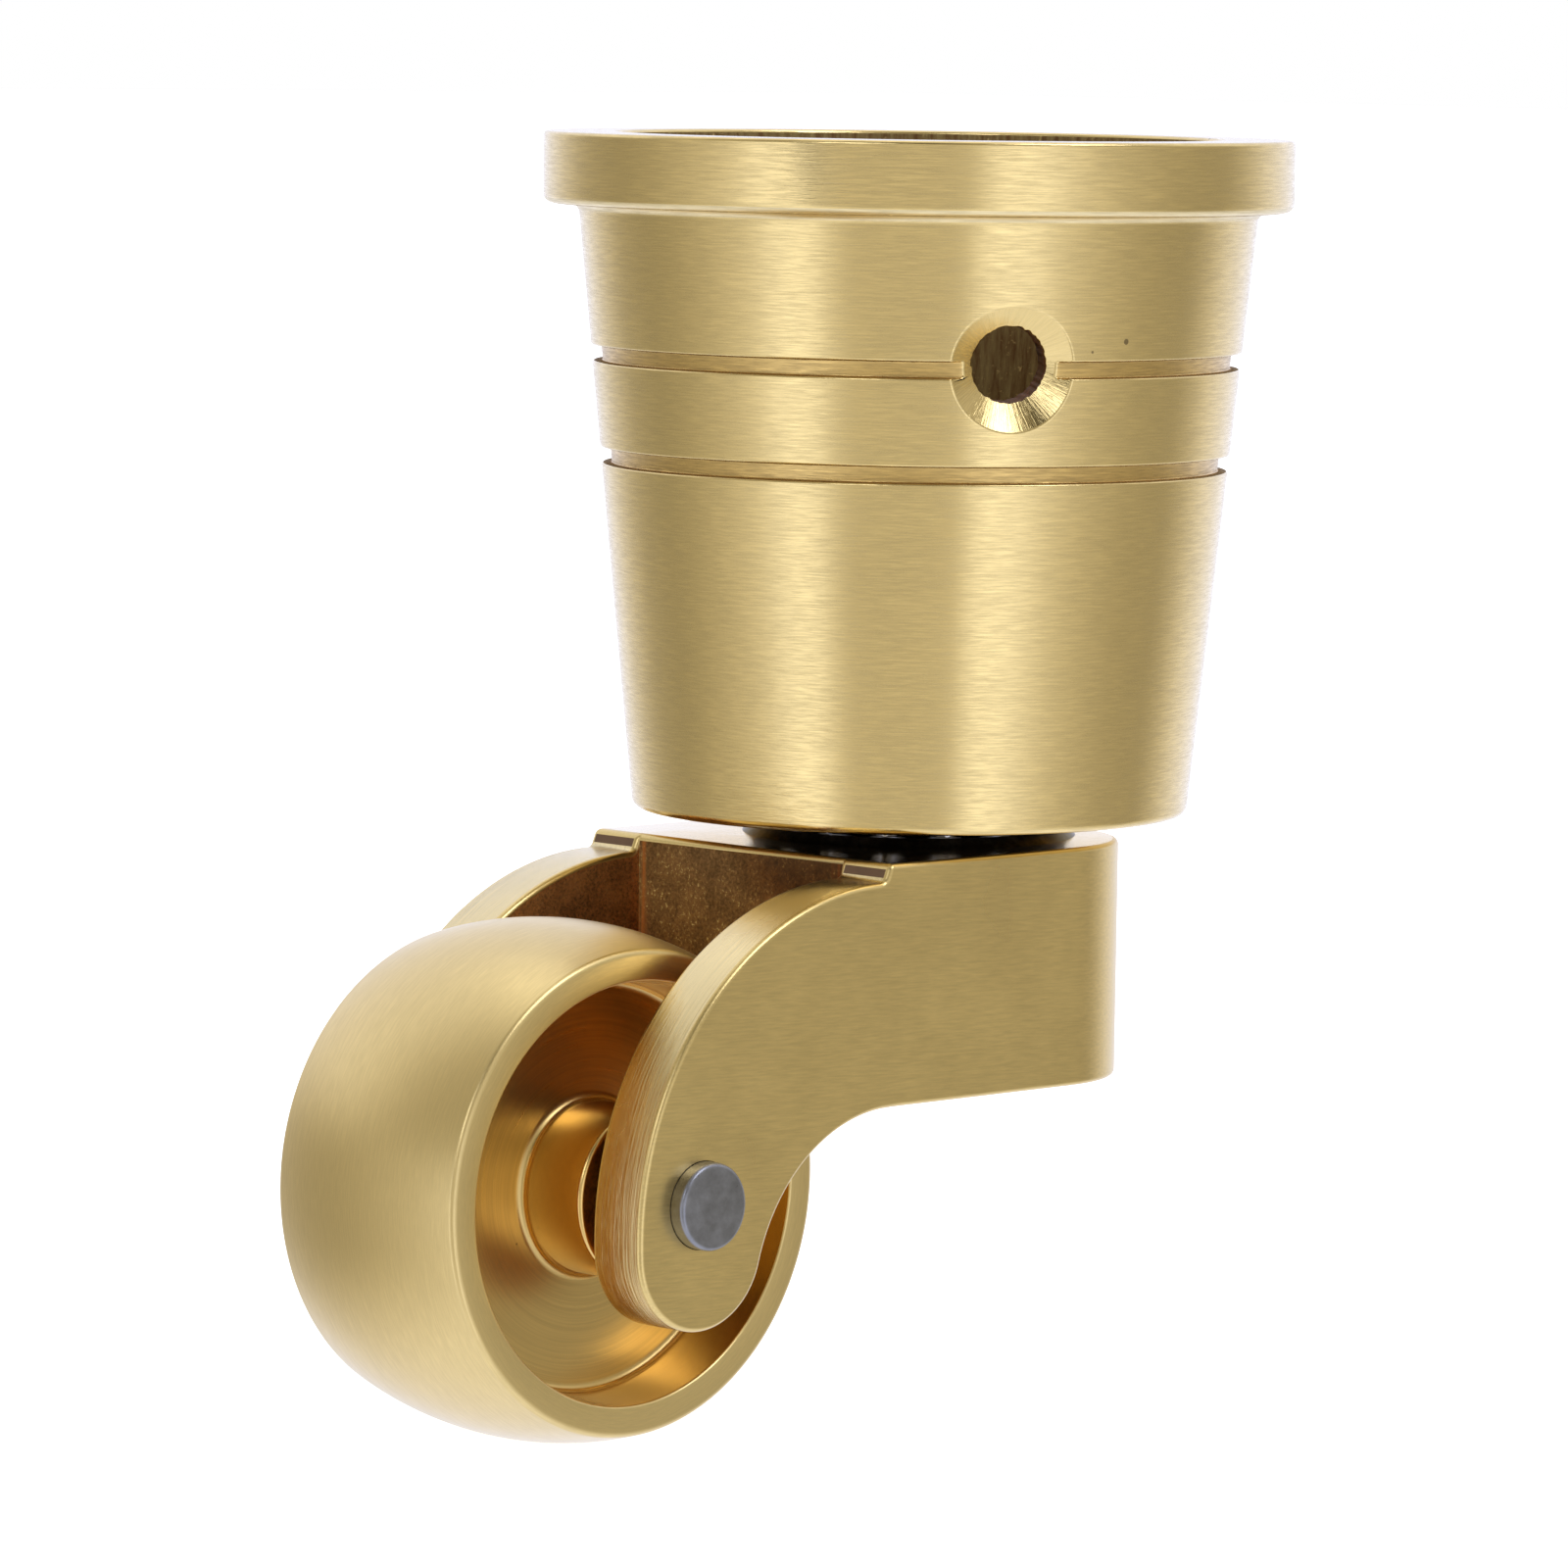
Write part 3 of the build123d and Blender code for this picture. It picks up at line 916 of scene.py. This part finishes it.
class CASTOR_OT_bearing(Operator):
    """Turn the two blackened races and finish the bearing balls between them"""

    bl_idname = "castor.bearing"
    bl_label = "Bearing"

    def execute(self, context):
        bearing, finish = settings().bearing, settings().finish
        middle = CUP_LOW.z - bearing.gap / 2
        black = blackened("race_blackened_steel", finish.black)
        lift = bearing.gap / 2 + bearing.seat_depth
        half = sqrt(bearing.raceway_radius**2 - (bearing.slit / 2) ** 2)
        turn = pi - 2 * asin(bearing.slit / 2 / bearing.raceway_radius)
        for name, side, body in (("upper_race", 1, "cup"), ("lower_race", -1, "swivel")):
            at_slit, at_flange, at_seat = (middle + side * rise for rise in (bearing.slit / 2, bearing.gap / 2, lift))
            bm = bmesh.new()
            start, = chain(bm, [(bearing.ball_circle / 2 - half, 0, at_slit)])
            end = sweep(bm, start, (bearing.ball_circle / 2, 0, middle), (0, side, 0), turn, 16)
            loop = chain(
                bm,
                [
                    (bearing.waist_diameter / 2, 0, at_slit),
                    (bearing.flange_diameter / 2, 0, at_flange),
                    (bearing.hub_diameter / 2, 0, at_flange),
                    (bearing.hub_diameter / 2, 0, at_seat),
                    (bearing.bore_diameter / 2, 0, at_seat),
                    (bearing.bore_diameter / 2, 0, at_slit),
                ],
            )
            bm.edges.new((end, loop[0]))
            bm.edges.new((loop[-1], start))
            lathe(bm, (0, 0, 0), (0, 0, 1), 160)
            finished(bm, f"{name}_ring", [black], body, [name])
        shiny = steel("ball_polished_steel", finish.balls, 0.12)
        for name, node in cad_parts.items():
            if name.startswith("bearing_ball"):
                node.data.materials.clear()
                node.data.materials.append(shiny)
        return {"FINISHED"}


class CASTOR_OT_swivel_pin(Operator):
    """Turn the swivel pin with its domed head and peened foot, and the washer under the head"""

    bl_idname = "castor.swivel_pin"
    bl_label = "Swivel pin"

    def execute(self, context):
        bearing, cup, finish = settings().bearing, settings().cup, settings().finish
        grey = steel("swivel_pin_steel", finish.steel)
        floor = CUP_LOW.z + cup.floor_thickness
        seat = floor + bearing.washer_thickness + TURNING_PLAY
        top, foot = seat + bearing.head_height, HORN_HIGH.z - settings().horn.height
        shank, head = bearing.pin_diameter / 2, bearing.head_diameter / 2
        head_rim = 0.001
        dome = top - seat - head_rim
        dome_radius = (head**2 + dome**2) / 2 / dome
        bm = bmesh.new()
        crown, = chain(bm, [(0, 0, top)])
        rim = sweep(bm, crown, (0, 0, top - dome_radius), (0, 1, 0), asin(head / dome_radius), 12)
        low = chain(
            bm,
            [
                (head, 0, seat),
                (shank, 0, seat),
                (shank, 0, foot + bearing.foot_height),
                (bearing.foot_diameter / 2, 0, foot),
                (0, 0, foot),
            ],
        )
        bm.edges.new((rim, low[0]))
        lathe(bm, (0, 0, 0), (0, 0, 1), 128)
        finished(bm, "swivel_pin_turned", [grey], "swivel", ["swivel_pin"])
        hole, rim = shank + TURNING_PLAY, bearing.washer_diameter / 2
        washer_top = floor + bearing.washer_thickness
        outline = [(hole, floor, 0), (rim, floor, 0.0001), (rim, washer_top, 0.0002), (hole, washer_top, 0.0001)]
        bm = turned(outline, 128)
        finished(bm, "pin_washer_turned", [grey], "cup", ["pin_washer"])
        return {"FINISHED"}


# Horn

# Finishes of the horn, by their place in its list
SATIN, CAST_SLOT, BROW, DARK_STEP, PAD, CAST_CHEEK = range(6)


class HornLines:
    """Levels, centres and angles of the horn's side view."""

    def __init__(self, horn):
        self.top, self.back, self.side = HORN_HIGH.z, HORN_HIGH.x, HORN_HIGH.y
        self.bottom = self.top - horn.height
        self.cheek_top, self.slot = self.top - horn.pad_height, self.side - horn.cheek
        self.toe = Vector((AXLE.x, 0, AXLE.z - horn.toe_drop))
        self.brow_x = -horn.slot_wall - horn.pad_slope
        rise, run = self.cheek_top - self.toe.z, self.brow_x - self.toe.x
        brow_radius = (run**2 + rise**2 - horn.toe_radius**2) / 2 / (rise - horn.toe_radius)
        self.brow = Vector((self.brow_x, 0, self.cheek_top - brow_radius))
        throat_z = self.bottom - horn.throat_radius
        reach = sqrt((horn.throat_radius + horn.toe_radius) ** 2 - (throat_z - self.toe.z) ** 2)
        self.throat = Vector((self.toe.x + reach, 0, throat_z))
        self.brow_end = atan2(self.toe.z - self.brow.z, self.toe.x - self.brow.x) % (2 * pi)
        self.throat_end = atan2(self.toe.z - self.throat.z, self.toe.x - self.throat.x) % (2 * pi)


def horn_side_view(horn, lines):
    """Draw one side of the horn: brow, toe and throat as tangent arcs, then the block and the pad's step."""
    toe, brow, throat, side = lines.toe, lines.brow, lines.throat, lines.side
    bm = bmesh.new()
    foot, = chain(bm, [(brow.x, -side, lines.cheek_top)])
    nose = sweep(bm, foot, (brow.x, -side, brow.z), (0, 1, 0), pi / 2 - lines.brow_end, 64)
    heel = sweep(bm, nose, (toe.x, -side, toe.z), (0, 1, 0), lines.brow_end - lines.throat_end - pi, 48)
    last = sweep(bm, heel, (throat.x, -side, throat.z), (0, 1, 0), lines.throat_end - pi / 2, 32)
    rest = chain(
        bm, [(lines.back, -side, lines.bottom), (lines.back, -side, lines.top), (-horn.slot_wall, -side, lines.top)]
    )
    bm.edges.new((last, rest[0]))
    bm.edges.new((rest[-1], foot))
    soften(bm, foot, horn.pad_foot)
    bmesh.ops.contextual_create(bm, geom=bm.edges[:])
    return bm


def part_cheek_from_block(bm, horn, lines):
    """Cut the side view along the slot's wall, and hollow that wall round the wheel."""
    bmesh.ops.bisect_plane(
        bm, geom=bm.verts[:] + bm.edges[:] + bm.faces[:], dist=1e-7,
        plane_co=(-horn.slot_wall, 0, 0), plane_no=(1, 0, 0),
    )
    bmesh.ops.remove_doubles(bm, verts=bm.verts[:], dist=4e-5)
    wall = [e for e in bm.edges if len(e.link_faces) == 2]
    bmesh.ops.subdivide_edges(bm, edges=wall, cuts=12)
    well = (WHEEL_HIGH.z - WHEEL_LOW.z) / 2 + horn.well_clearance
    for edge in [e for e in bm.edges if len(e.link_faces) == 2]:
        for vert in edge.verts:
            hollow = AXLE.x + sqrt(well**2 - min(well, vert.co.z - AXLE.z) ** 2)
            vert.co.x = min(max(hollow, vert.co.x), lines.throat.x - 0.0001)


def give_width(bm, horn, lines):
    """Thicken the cheek, draw the block up to the middle, mirror the half and round its back corners."""
    cheek = bmesh.ops.extrude_face_region(bm, geom=bm.faces[:])["geom"]
    bmesh.ops.translate(bm, verts=verts_of(cheek), vec=(0, horn.cheek, 0))
    block = [
        f for f in faces_of(cheek)
        if abs(f.normal.y) > 0.9 and f.calc_center_median_weighted().x > -horn.slot_wall
    ]
    half = bmesh.ops.extrude_face_region(bm, geom=block)["geom"]
    bmesh.ops.translate(bm, verts=verts_of(half), vec=(0, lines.slot, 0))
    bmesh.ops.delete(bm, geom=block + faces_of(half), context="FACES_ONLY")
    bmesh.ops.mirror(
        bm, geom=bm.verts[:] + bm.edges[:] + bm.faces[:], matrix=Matrix.Identity(4), merge_dist=1e-6, axis="Y"
    )
    bmesh.ops.recalc_face_normals(bm, faces=bm.faces[:])
    level = [e for e in bm.edges if e.calc_face_angle(0) < radians(0.1)]
    bmesh.ops.dissolve_edges(bm, edges=level, use_verts=True)
    upright = [
        e for e in bm.edges
        if all(abs(v.co.x - lines.back) < 1e-6 for v in e.verts) and abs(e.verts[0].co.z - e.verts[1].co.z) > 0.01
    ]
    soften_edges(bm, upright, horn.back_corner, 36)


def horn_finish(face, horn, lines):
    """Which of the horn's finishes a face takes."""
    middle = face.calc_center_median_weighted()
    before_wall = middle.x < -horn.slot_wall
    # The slope under the pad takes dark brown, painted shade
    if before_wall and middle.x > lines.brow_x + 0.0002 and middle.z > lines.cheek_top - 1e-5:
        return DARK_STEP
    if face.normal.z > 0.9 and middle.z > lines.top - 1e-5:
        return PAD
    if abs(middle.y) < lines.slot + 1e-5 and middle.x < lines.throat.x and abs(face.normal.z) < 0.6:
        return CAST_CHEEK if abs(face.normal.y) > 0.7 else CAST_SLOT
    return BROW if before_wall and abs(face.normal.y) < 0.5 else SATIN


def horn_cutters(bearing, lines, finish):
    """Solids that cut the axle's hole, the race's seat and the swivel pin's hole with its peened foot."""
    top, bottom, through = lines.top, lines.bottom, 0.02
    axle = (AXLE_HIGH.z - AXLE_LOW.z) / 2 + 2 * SEAT_PLAY
    seat, pin = bearing.hub_diameter / 2 + SEAT_PLAY, bearing.pin_diameter / 2 + SEAT_PLAY
    foot, sunk = bearing.foot_diameter / 2 + 2 * SEAT_PLAY, top - bearing.seat_depth
    above, below = top + 0.01, bottom - 0.001
    holes = (
        ("axle_cut", [(0, -through), (axle, -through), (axle, through), (0, through)], "Y", AXLE),
        ("seat_cut", [(0, sunk), (seat, sunk), (seat, above), (0, above)], "Z", Vector()),
        (
            "pin_cut",
            [(0, top), (pin, top), (pin, bottom + bearing.foot_height), (foot, bottom), (foot, below), (0, below)],
            "Z",
            Vector(),
        ),
    )
    return [
        loose(turned([(r, h, 0) for r, h in outline], 96, axis, middle), name, [finish])
        for name, outline, axis, middle in holes
    ]


def round_brow(mesh, brow, horn, lines):
    """Shade the brow as filed slightly round, falling off towards the outside."""
    normals = [Vector(n.vector) for n in mesh.corner_normals]
    for face in mesh.polygons:
        if mesh.materials[face.material_index] == brow:
            for corner, index in zip(face.loop_indices, face.vertices):
                y = mesh.vertices[index].co.y
                out = (abs(y) - lines.slot) / horn.cheek
                lean = Vector((0, copysign(0.2 * out - 0.05, y), 0))
                normals[corner] = (normals[corner] + lean).normalized()
    mesh.normals_split_custom_set(normals)


class CASTOR_OT_horn(Operator):
    """Draw the horn's side view, give it its width round the slot, and soften its edges"""

    bl_idname = "castor.horn"
    bl_label = "Horn"

    def execute(self, context):
        horn, bearing, finish = settings().horn, settings().bearing, settings().finish
        lines = HornLines(horn)
        bm = horn_side_view(horn, lines)
        part_cheek_from_block(bm, horn, lines)
        give_width(bm, horn, lines)
        for face in bm.faces:
            face.material_index = horn_finish(face, horn, lines)
        brinks = [e for e in bm.edges if e.is_convex and e.calc_face_angle(0) > radians(38)]
        soften_edges(bm, brinks, horn.edge, 4, SATIN)

        along_x, upright, even = (600.0, 7500.0, 7500.0), (150.0, 6000.0, 150.0), (900.0, 900.0, 900.0)
        rough = cast_brass("horn_cast_slot", finish.horn_brass, finish.tarnish_and_shade, lines.slot)
        # Paler brass on the brow: painted sheen
        brow = flat_brass("horn_brushed_brow_painted_sheen", finish.brow, 0.25, upright, contrast=0.06, distance=3.5e-5)
        no_streaks = 1.0
        finishes = [
            flat_brass("horn_satin_brass", finish.horn_brass, 0.3, along_x, (0, radians(-2), 0), 0.09),
            rough,
            brow,
            # Dark brown on the pad's slope: painted shade
            flat_brass("horn_step_painted_shade", finish.step, 0.4, even),
            flat_brass("horn_polished_pad", finish.brass, 0.14, (160.0, 5000.0, 5000.0), distance=2e-6),
            cast_brass("horn_cast_cheek", finish.brass, toned(finish.tarnish_and_shade, 3.4), no_streaks),
        ]
        piece = finished(bm, "horn_body", finishes, "swivel", ["horn"])
        carve(piece, horn_cutters(bearing, lines, rough))
        weld(piece, 2e-6)
        even_out(piece, radians(40))
        settle(piece)
        round_brow(piece.data, brow, horn, lines)
        return {"FINISHED"}


# Wheel and axle

# Finishes of the wheel, by their place in its list
TREAD, RIM_FACE, WEB, BOSS = range(4)


def wheel_finish(wheel, face):
    """Which of the wheel's finishes a face takes, before the wheel is moved to its place."""
    middle = face.calc_center_median()
    out, dish = sqrt(middle.x**2 + middle.z**2), wheel.dish_diameter / 2 + 1e-5
    if out < dish:
        return WEB if out > wheel.boss_diameter / 2 + 0.0001 and abs(face.normal.y) > 0.6 else BOSS
    if abs(middle.y) > wheel.width / 2 - 0.0012 and out > dish and abs(face.normal.y) > 0.9:
        return RIM_FACE
    return TREAD


class CASTOR_OT_wheel(Operator):
    """Turn the wheel with its barrel-shaped tread, dished web and bosses"""

    bl_idname = "castor.wheel"
    bl_label = "Wheel"

    def execute(self, context):
        wheel, finish = settings().wheel, settings().finish
        radius = (WHEEL_HIGH.z - WHEEL_LOW.z) / 2
        boss_end = WHEEL_HIGH.y - WHEEL.y
        half, edge = wheel.width / 2, wheel.edge_diameter / 2
        crown = ((radius - edge) ** 2 + half**2) / 2 / (radius - edge)
        bm = bmesh.new()
        start, = chain(bm, [(0, 0, radius)])
        end = sweep(bm, start, (0, 0, radius - crown), (1, 0, 0), -asin(half / crown), 24)
        dish, dish_foot, boss_foot, boss_edge, bore_edge, _ = chain(
            bm,
            [
                (0, half, wheel.dish_diameter / 2),
                (0, wheel.web / 2, wheel.dish_floor / 2),
                (0, wheel.web / 2, wheel.boss_diameter / 2),
                (0, boss_end, wheel.boss_diameter / 2),
                (0, boss_end, wheel.bore_diameter / 2),
                (0, 0, wheel.bore_diameter / 2),
            ],
        )
        bm.edges.new((end, dish))
        for corner, size in (
            (end, wheel.edge),
            (dish, 0.00018),
            (dish_foot, 0.0005),
            (boss_foot, 0.0006),
            (boss_edge, 0.0003),
            (bore_edge, 0.0002),
        ):
            soften(bm, corner, size)
        bmesh.ops.mirror(bm, geom=bm.verts[:] + bm.edges[:], matrix=Matrix.Identity(4), merge_dist=1e-6, axis="Y")
        lathe(bm, (0, 0, 0), (0, 1, 0), 320)
        for face in bm.faces:
            face.material_index = wheel_finish(wheel, face)
        bmesh.ops.translate(bm, verts=bm.verts[:], vec=WHEEL)

        place = {"middle": tuple(WHEEL), "turn": (radians(90), 0, 0)}
        smooth = {"contrast": 0.07, "distance": 3e-6, "flecks": 0.04, **place}
        finishes = [
            turned_brass("wheel_satin_tread", finish.brass, 0.33, **smooth),
            turned_brass("wheel_rim_face", finish.brass, 0.36, **smooth),
            # Darker deep gold on the web: partly painted shade in the dish
            turned_brass(
                "wheel_turned_web_painted_shade", finish.web, 0.3, spread=1.2, rings=6500.0, ring_weight=0.6,
                contrast=0.14, distance=6e-6, flecks=0.03, **place,
            ),
            turned_brass(
                "wheel_bright_boss", toned(finish.brass, 1.04, 0.92, 0.72), 0.19,
                contrast=0.04, distance=1.5e-6, flecks=0.02, **place,
            ),
        ]
        finished(bm, "wheel_body", finishes, "wheel", ["wheel"])
        return {"FINISHED"}


class CASTOR_OT_axle(Operator):
    """Turn the steel axle pin with its bevelled ends"""

    bl_idname = "castor.axle"
    bl_label = "Axle pin"

    def execute(self, context):
        wheel, finish = settings().wheel, settings().finish
        radius, end = (AXLE_HIGH.z - AXLE_LOW.z) / 2, AXLE_HIGH.y
        outline = [(0, -end, 0), (radius, -end, wheel.axle_bevel), (radius, end, wheel.axle_bevel), (0, end, 0)]
        bm = turned(outline, 128, "Y", Vector((AXLE.x, 0, AXLE.z)))
        grey = steel("axle_pin_steel", finish.steel)
        finished(bm, "axle_pin_turned", [grey], "swivel", ["axle_pin"])
        return {"FINISHED"}


# Stage

# The camera, fitted to the photograph's outlines: where it stands, what it looks at, its roll and its lens in mm
CAMERA_PLACE = Vector((-0.35143, -0.35143, 0.0073))
CAMERA_AIM = Vector((-0.005588, 0.005588, -0.040916))
CAMERA_ROLL = radians(0.825)
CAMERA_LENS, CAMERA_WIDTH = 181.8, 36.0
CAMERA_BEARING = -135
# Where the overhead soft box hangs and what it points at
LAMP_PLACE, LAMP_AIM = Vector((0.1, 0.1, 0.7)), Vector((0, 0, -0.04))
# Brightness of the room's walls by bearing from the camera's, in degrees, where None is a soft box
WALL_LEVELS = (
    (-180, 1.1), (-150, 0.90), (-138, 0.70), (-122, 0.45), (-105, 0.38), (-90, 0.46), (-70, 0.66), (-60, 0.80),
    (-52, 1.05), (-46, None), (-37, None), (-30, 0.80), (-23, 0.62), (16, 0.64), (25, None), (36, None),
    (46, 0.95), (54, 0.77), (66, 0.62), (85, 0.46), (108, 0.40), (120, 0.60), (132, 0.85), (150, 0.98), (180, 1.1),
)
# Dark and bright cards: bearing and height in degrees, cosines at the soft edge's outside and inside, brightness
CARDS = (
    (-4, 46, 0.96, 0.98, 0.12),
    (-22, 28, 0.976, 0.988, 2.2),
    (-33, 7, 0.991, 0.996, 0.12),
    (60, 50, 0.955, 0.985, 3.6),
)
# Dim parts of the room are warm and bright ones cool, and the whole of it is lifted to the photograph's level
WARM, COOL = (0.76, 0.725, 0.645), (0.76, 0.805, 1.0)
ROOM_LEVEL = 1.32


def points_to(tree, ray, bearing, height):
    """How far a ray points to a bearing from the camera's, and to a height, both in degrees."""
    flat = radians(CAMERA_BEARING + bearing)
    way = (cos(flat) * cos(radians(height)), sin(flat) * cos(radians(height)), sin(radians(height)))
    return add(tree, "ShaderNodeVectorMath", {0: ray, 1: way}, operation="DOT_PRODUCT").outputs["Value"]


def facing(place, aim):
    """The turn of a camera or lamp at a place that looks at an aim."""
    return (aim - place).to_track_quat("-Z", "Y").to_matrix()


def room_level(tree, stage):
    """The room's brightness along a ray: walls by bearing, ceiling, ground and cards."""
    ray = add(tree, "ShaderNodeTexCoord").outputs["Generated"]
    front, right = points_to(tree, ray, 0, 0), points_to(tree, ray, 90, 0)
    bearing = stretch(tree, maths(tree, "ARCTAN2", right, front), -pi, pi)
    walls = add(tree, "ShaderNodeValToRGB", {0: bearing})
    ramp = walls.color_ramp
    while len(ramp.elements) < len(WALL_LEVELS):
        ramp.elements.new(0.5)
    # The ramp holds half of each brightness, so that none of its colours is over 1
    for element, (degrees, brightness) in zip(ramp.elements, WALL_LEVELS):
        half = (stage.soft_boxes if brightness is None else brightness) / 2
        element.position = (degrees + 180) / 360
        element.color = (half, half, half, 1.0)
    level = maths(tree, "MULTIPLY", walls.outputs[0], 2.0)
    lift = parts_of(tree, ray)[2]
    ceiling = stretch(tree, front, -0.25, 0.2, 0.9, 0.42)
    level = blend_values(tree, stretch(tree, lift, 0.1, 0.35), level, ceiling)
    level = blend_values(tree, stretch(tree, lift, -0.4, -0.8), level, 1.0)
    for degrees, height, outside, inside, brightness in CARDS:
        card = stretch(tree, points_to(tree, ray, degrees, height), outside, inside)
        level = blend_values(tree, card, level, brightness)
    return level


class CASTOR_OT_stage(Operator):
    """Lay the pale floor, set the soft lights and place the camera"""

    bl_idname = "castor.stage"
    bl_label = "Stage"

    def execute(self, context):
        stage = settings().stage
        scene = context.scene
        bm = bmesh.new()
        bmesh.ops.create_grid(bm, x_segments=1, y_segments=1, size=6.0)
        bmesh.ops.translate(bm, verts=bm.verts[:], vec=(0, 0, WHEEL_LOW.z))
        floor = loose(bm, "floor", [plain("floor_paper", stage.floor, 0.9, 0.0, glow=0.9)])
        floor.visible_glossy = False

        camera_data = bpy.data.cameras.new("camera")
        camera_data.lens, camera_data.sensor_width = CAMERA_LENS, CAMERA_WIDTH
        camera_data.clip_start, camera_data.clip_end = 0.01, 50.0
        camera = bpy.data.objects.new("camera", camera_data)
        camera.location = CAMERA_PLACE
        roll = Matrix.Rotation(CAMERA_ROLL, 3, "Z")
        camera.rotation_euler = (facing(CAMERA_PLACE, CAMERA_AIM) @ roll).to_euler()
        scene.collection.objects.link(camera)
        scene.camera = camera

        light = bpy.data.lights.new("top_soft_box", "AREA")
        light.shape, light.size, light.energy = "SQUARE", 0.7, stage.top_light
        lamp = bpy.data.objects.new("top_soft_box", light)
        lamp.location = LAMP_PLACE
        lamp.rotation_euler = facing(LAMP_PLACE, LAMP_AIM).to_euler()
        lamp.visible_camera = False
        scene.collection.objects.link(lamp)

        world = bpy.data.worlds.new("pale_room")
        world.use_nodes = True
        scene.world = world
        tree = world.node_tree
        tree.nodes.clear()
        level = room_level(tree, stage)
        tint = blend_colours(tree, stretch(tree, level, 0.4, 1.1), WARM, COOL)
        level = maths(tree, "MULTIPLY", level, ROOM_LEVEL * stage.room)
        # The camera itself sees plain white behind the floor
        seen = add(tree, "ShaderNodeLightPath").outputs["Is Camera Ray"]
        inputs = {
            "Color": blend_colours(tree, seen, tint, (1.0, 1.0, 1.0)),
            "Strength": blend_values(tree, seen, level, 1.0),
        }
        sky = add(tree, "ShaderNodeBackground", inputs)
        out = add(tree, "ShaderNodeOutputWorld")
        tree.links.new(sky.outputs[0], out.inputs[0])
        scene.view_settings.view_transform = "Standard"
        return {"FINISHED"}


OPERATORS = (
    CASTOR_OT_finishes,
    CASTOR_OT_cup,
    CASTOR_OT_bearing,
    CASTOR_OT_swivel_pin,
    CASTOR_OT_horn,
    CASTOR_OT_wheel,
    CASTOR_OT_axle,
    CASTOR_OT_stage,
)


class CASTOR_PT_panel(Panel):
    """The castor's pieces in the sidebar"""

    bl_idname = "CASTOR_PT_panel"
    bl_label = "Brass swivel castor"
    bl_space_type = "VIEW_3D"
    bl_region_type = "UI"
    bl_category = "Castor"

    def draw(self, context):
        for operator in OPERATORS:
            self.layout.operator(operator.bl_idname)


CLASSES = (
    CastorCupSettings,
    CastorBearingSettings,
    CastorHornSettings,
    CastorWheelSettings,
    CastorFinishSettings,
    CastorStageSettings,
    CastorSettings,
    *OPERATORS,
    CASTOR_PT_panel,
)


def register():
    """Register the settings, operators and panel."""
    for entry in CLASSES:
        bpy.utils.register_class(entry)
    bpy.types.Scene.castor = PointerProperty(type=CastorSettings, name="Castor", description="Settings of the castor")


def unregister():
    """Take the settings, operators and panel away again."""
    del bpy.types.Scene.castor
    for entry in reversed(CLASSES):
        bpy.utils.unregister_class(entry)


def main():
    """Register the settings, then build every piece in order."""
    register()
    for operator in OPERATORS:
        group, name = operator.bl_idname.split(".")
        getattr(getattr(bpy.ops, group), name)()


if __name__ == "__main__":
    main()
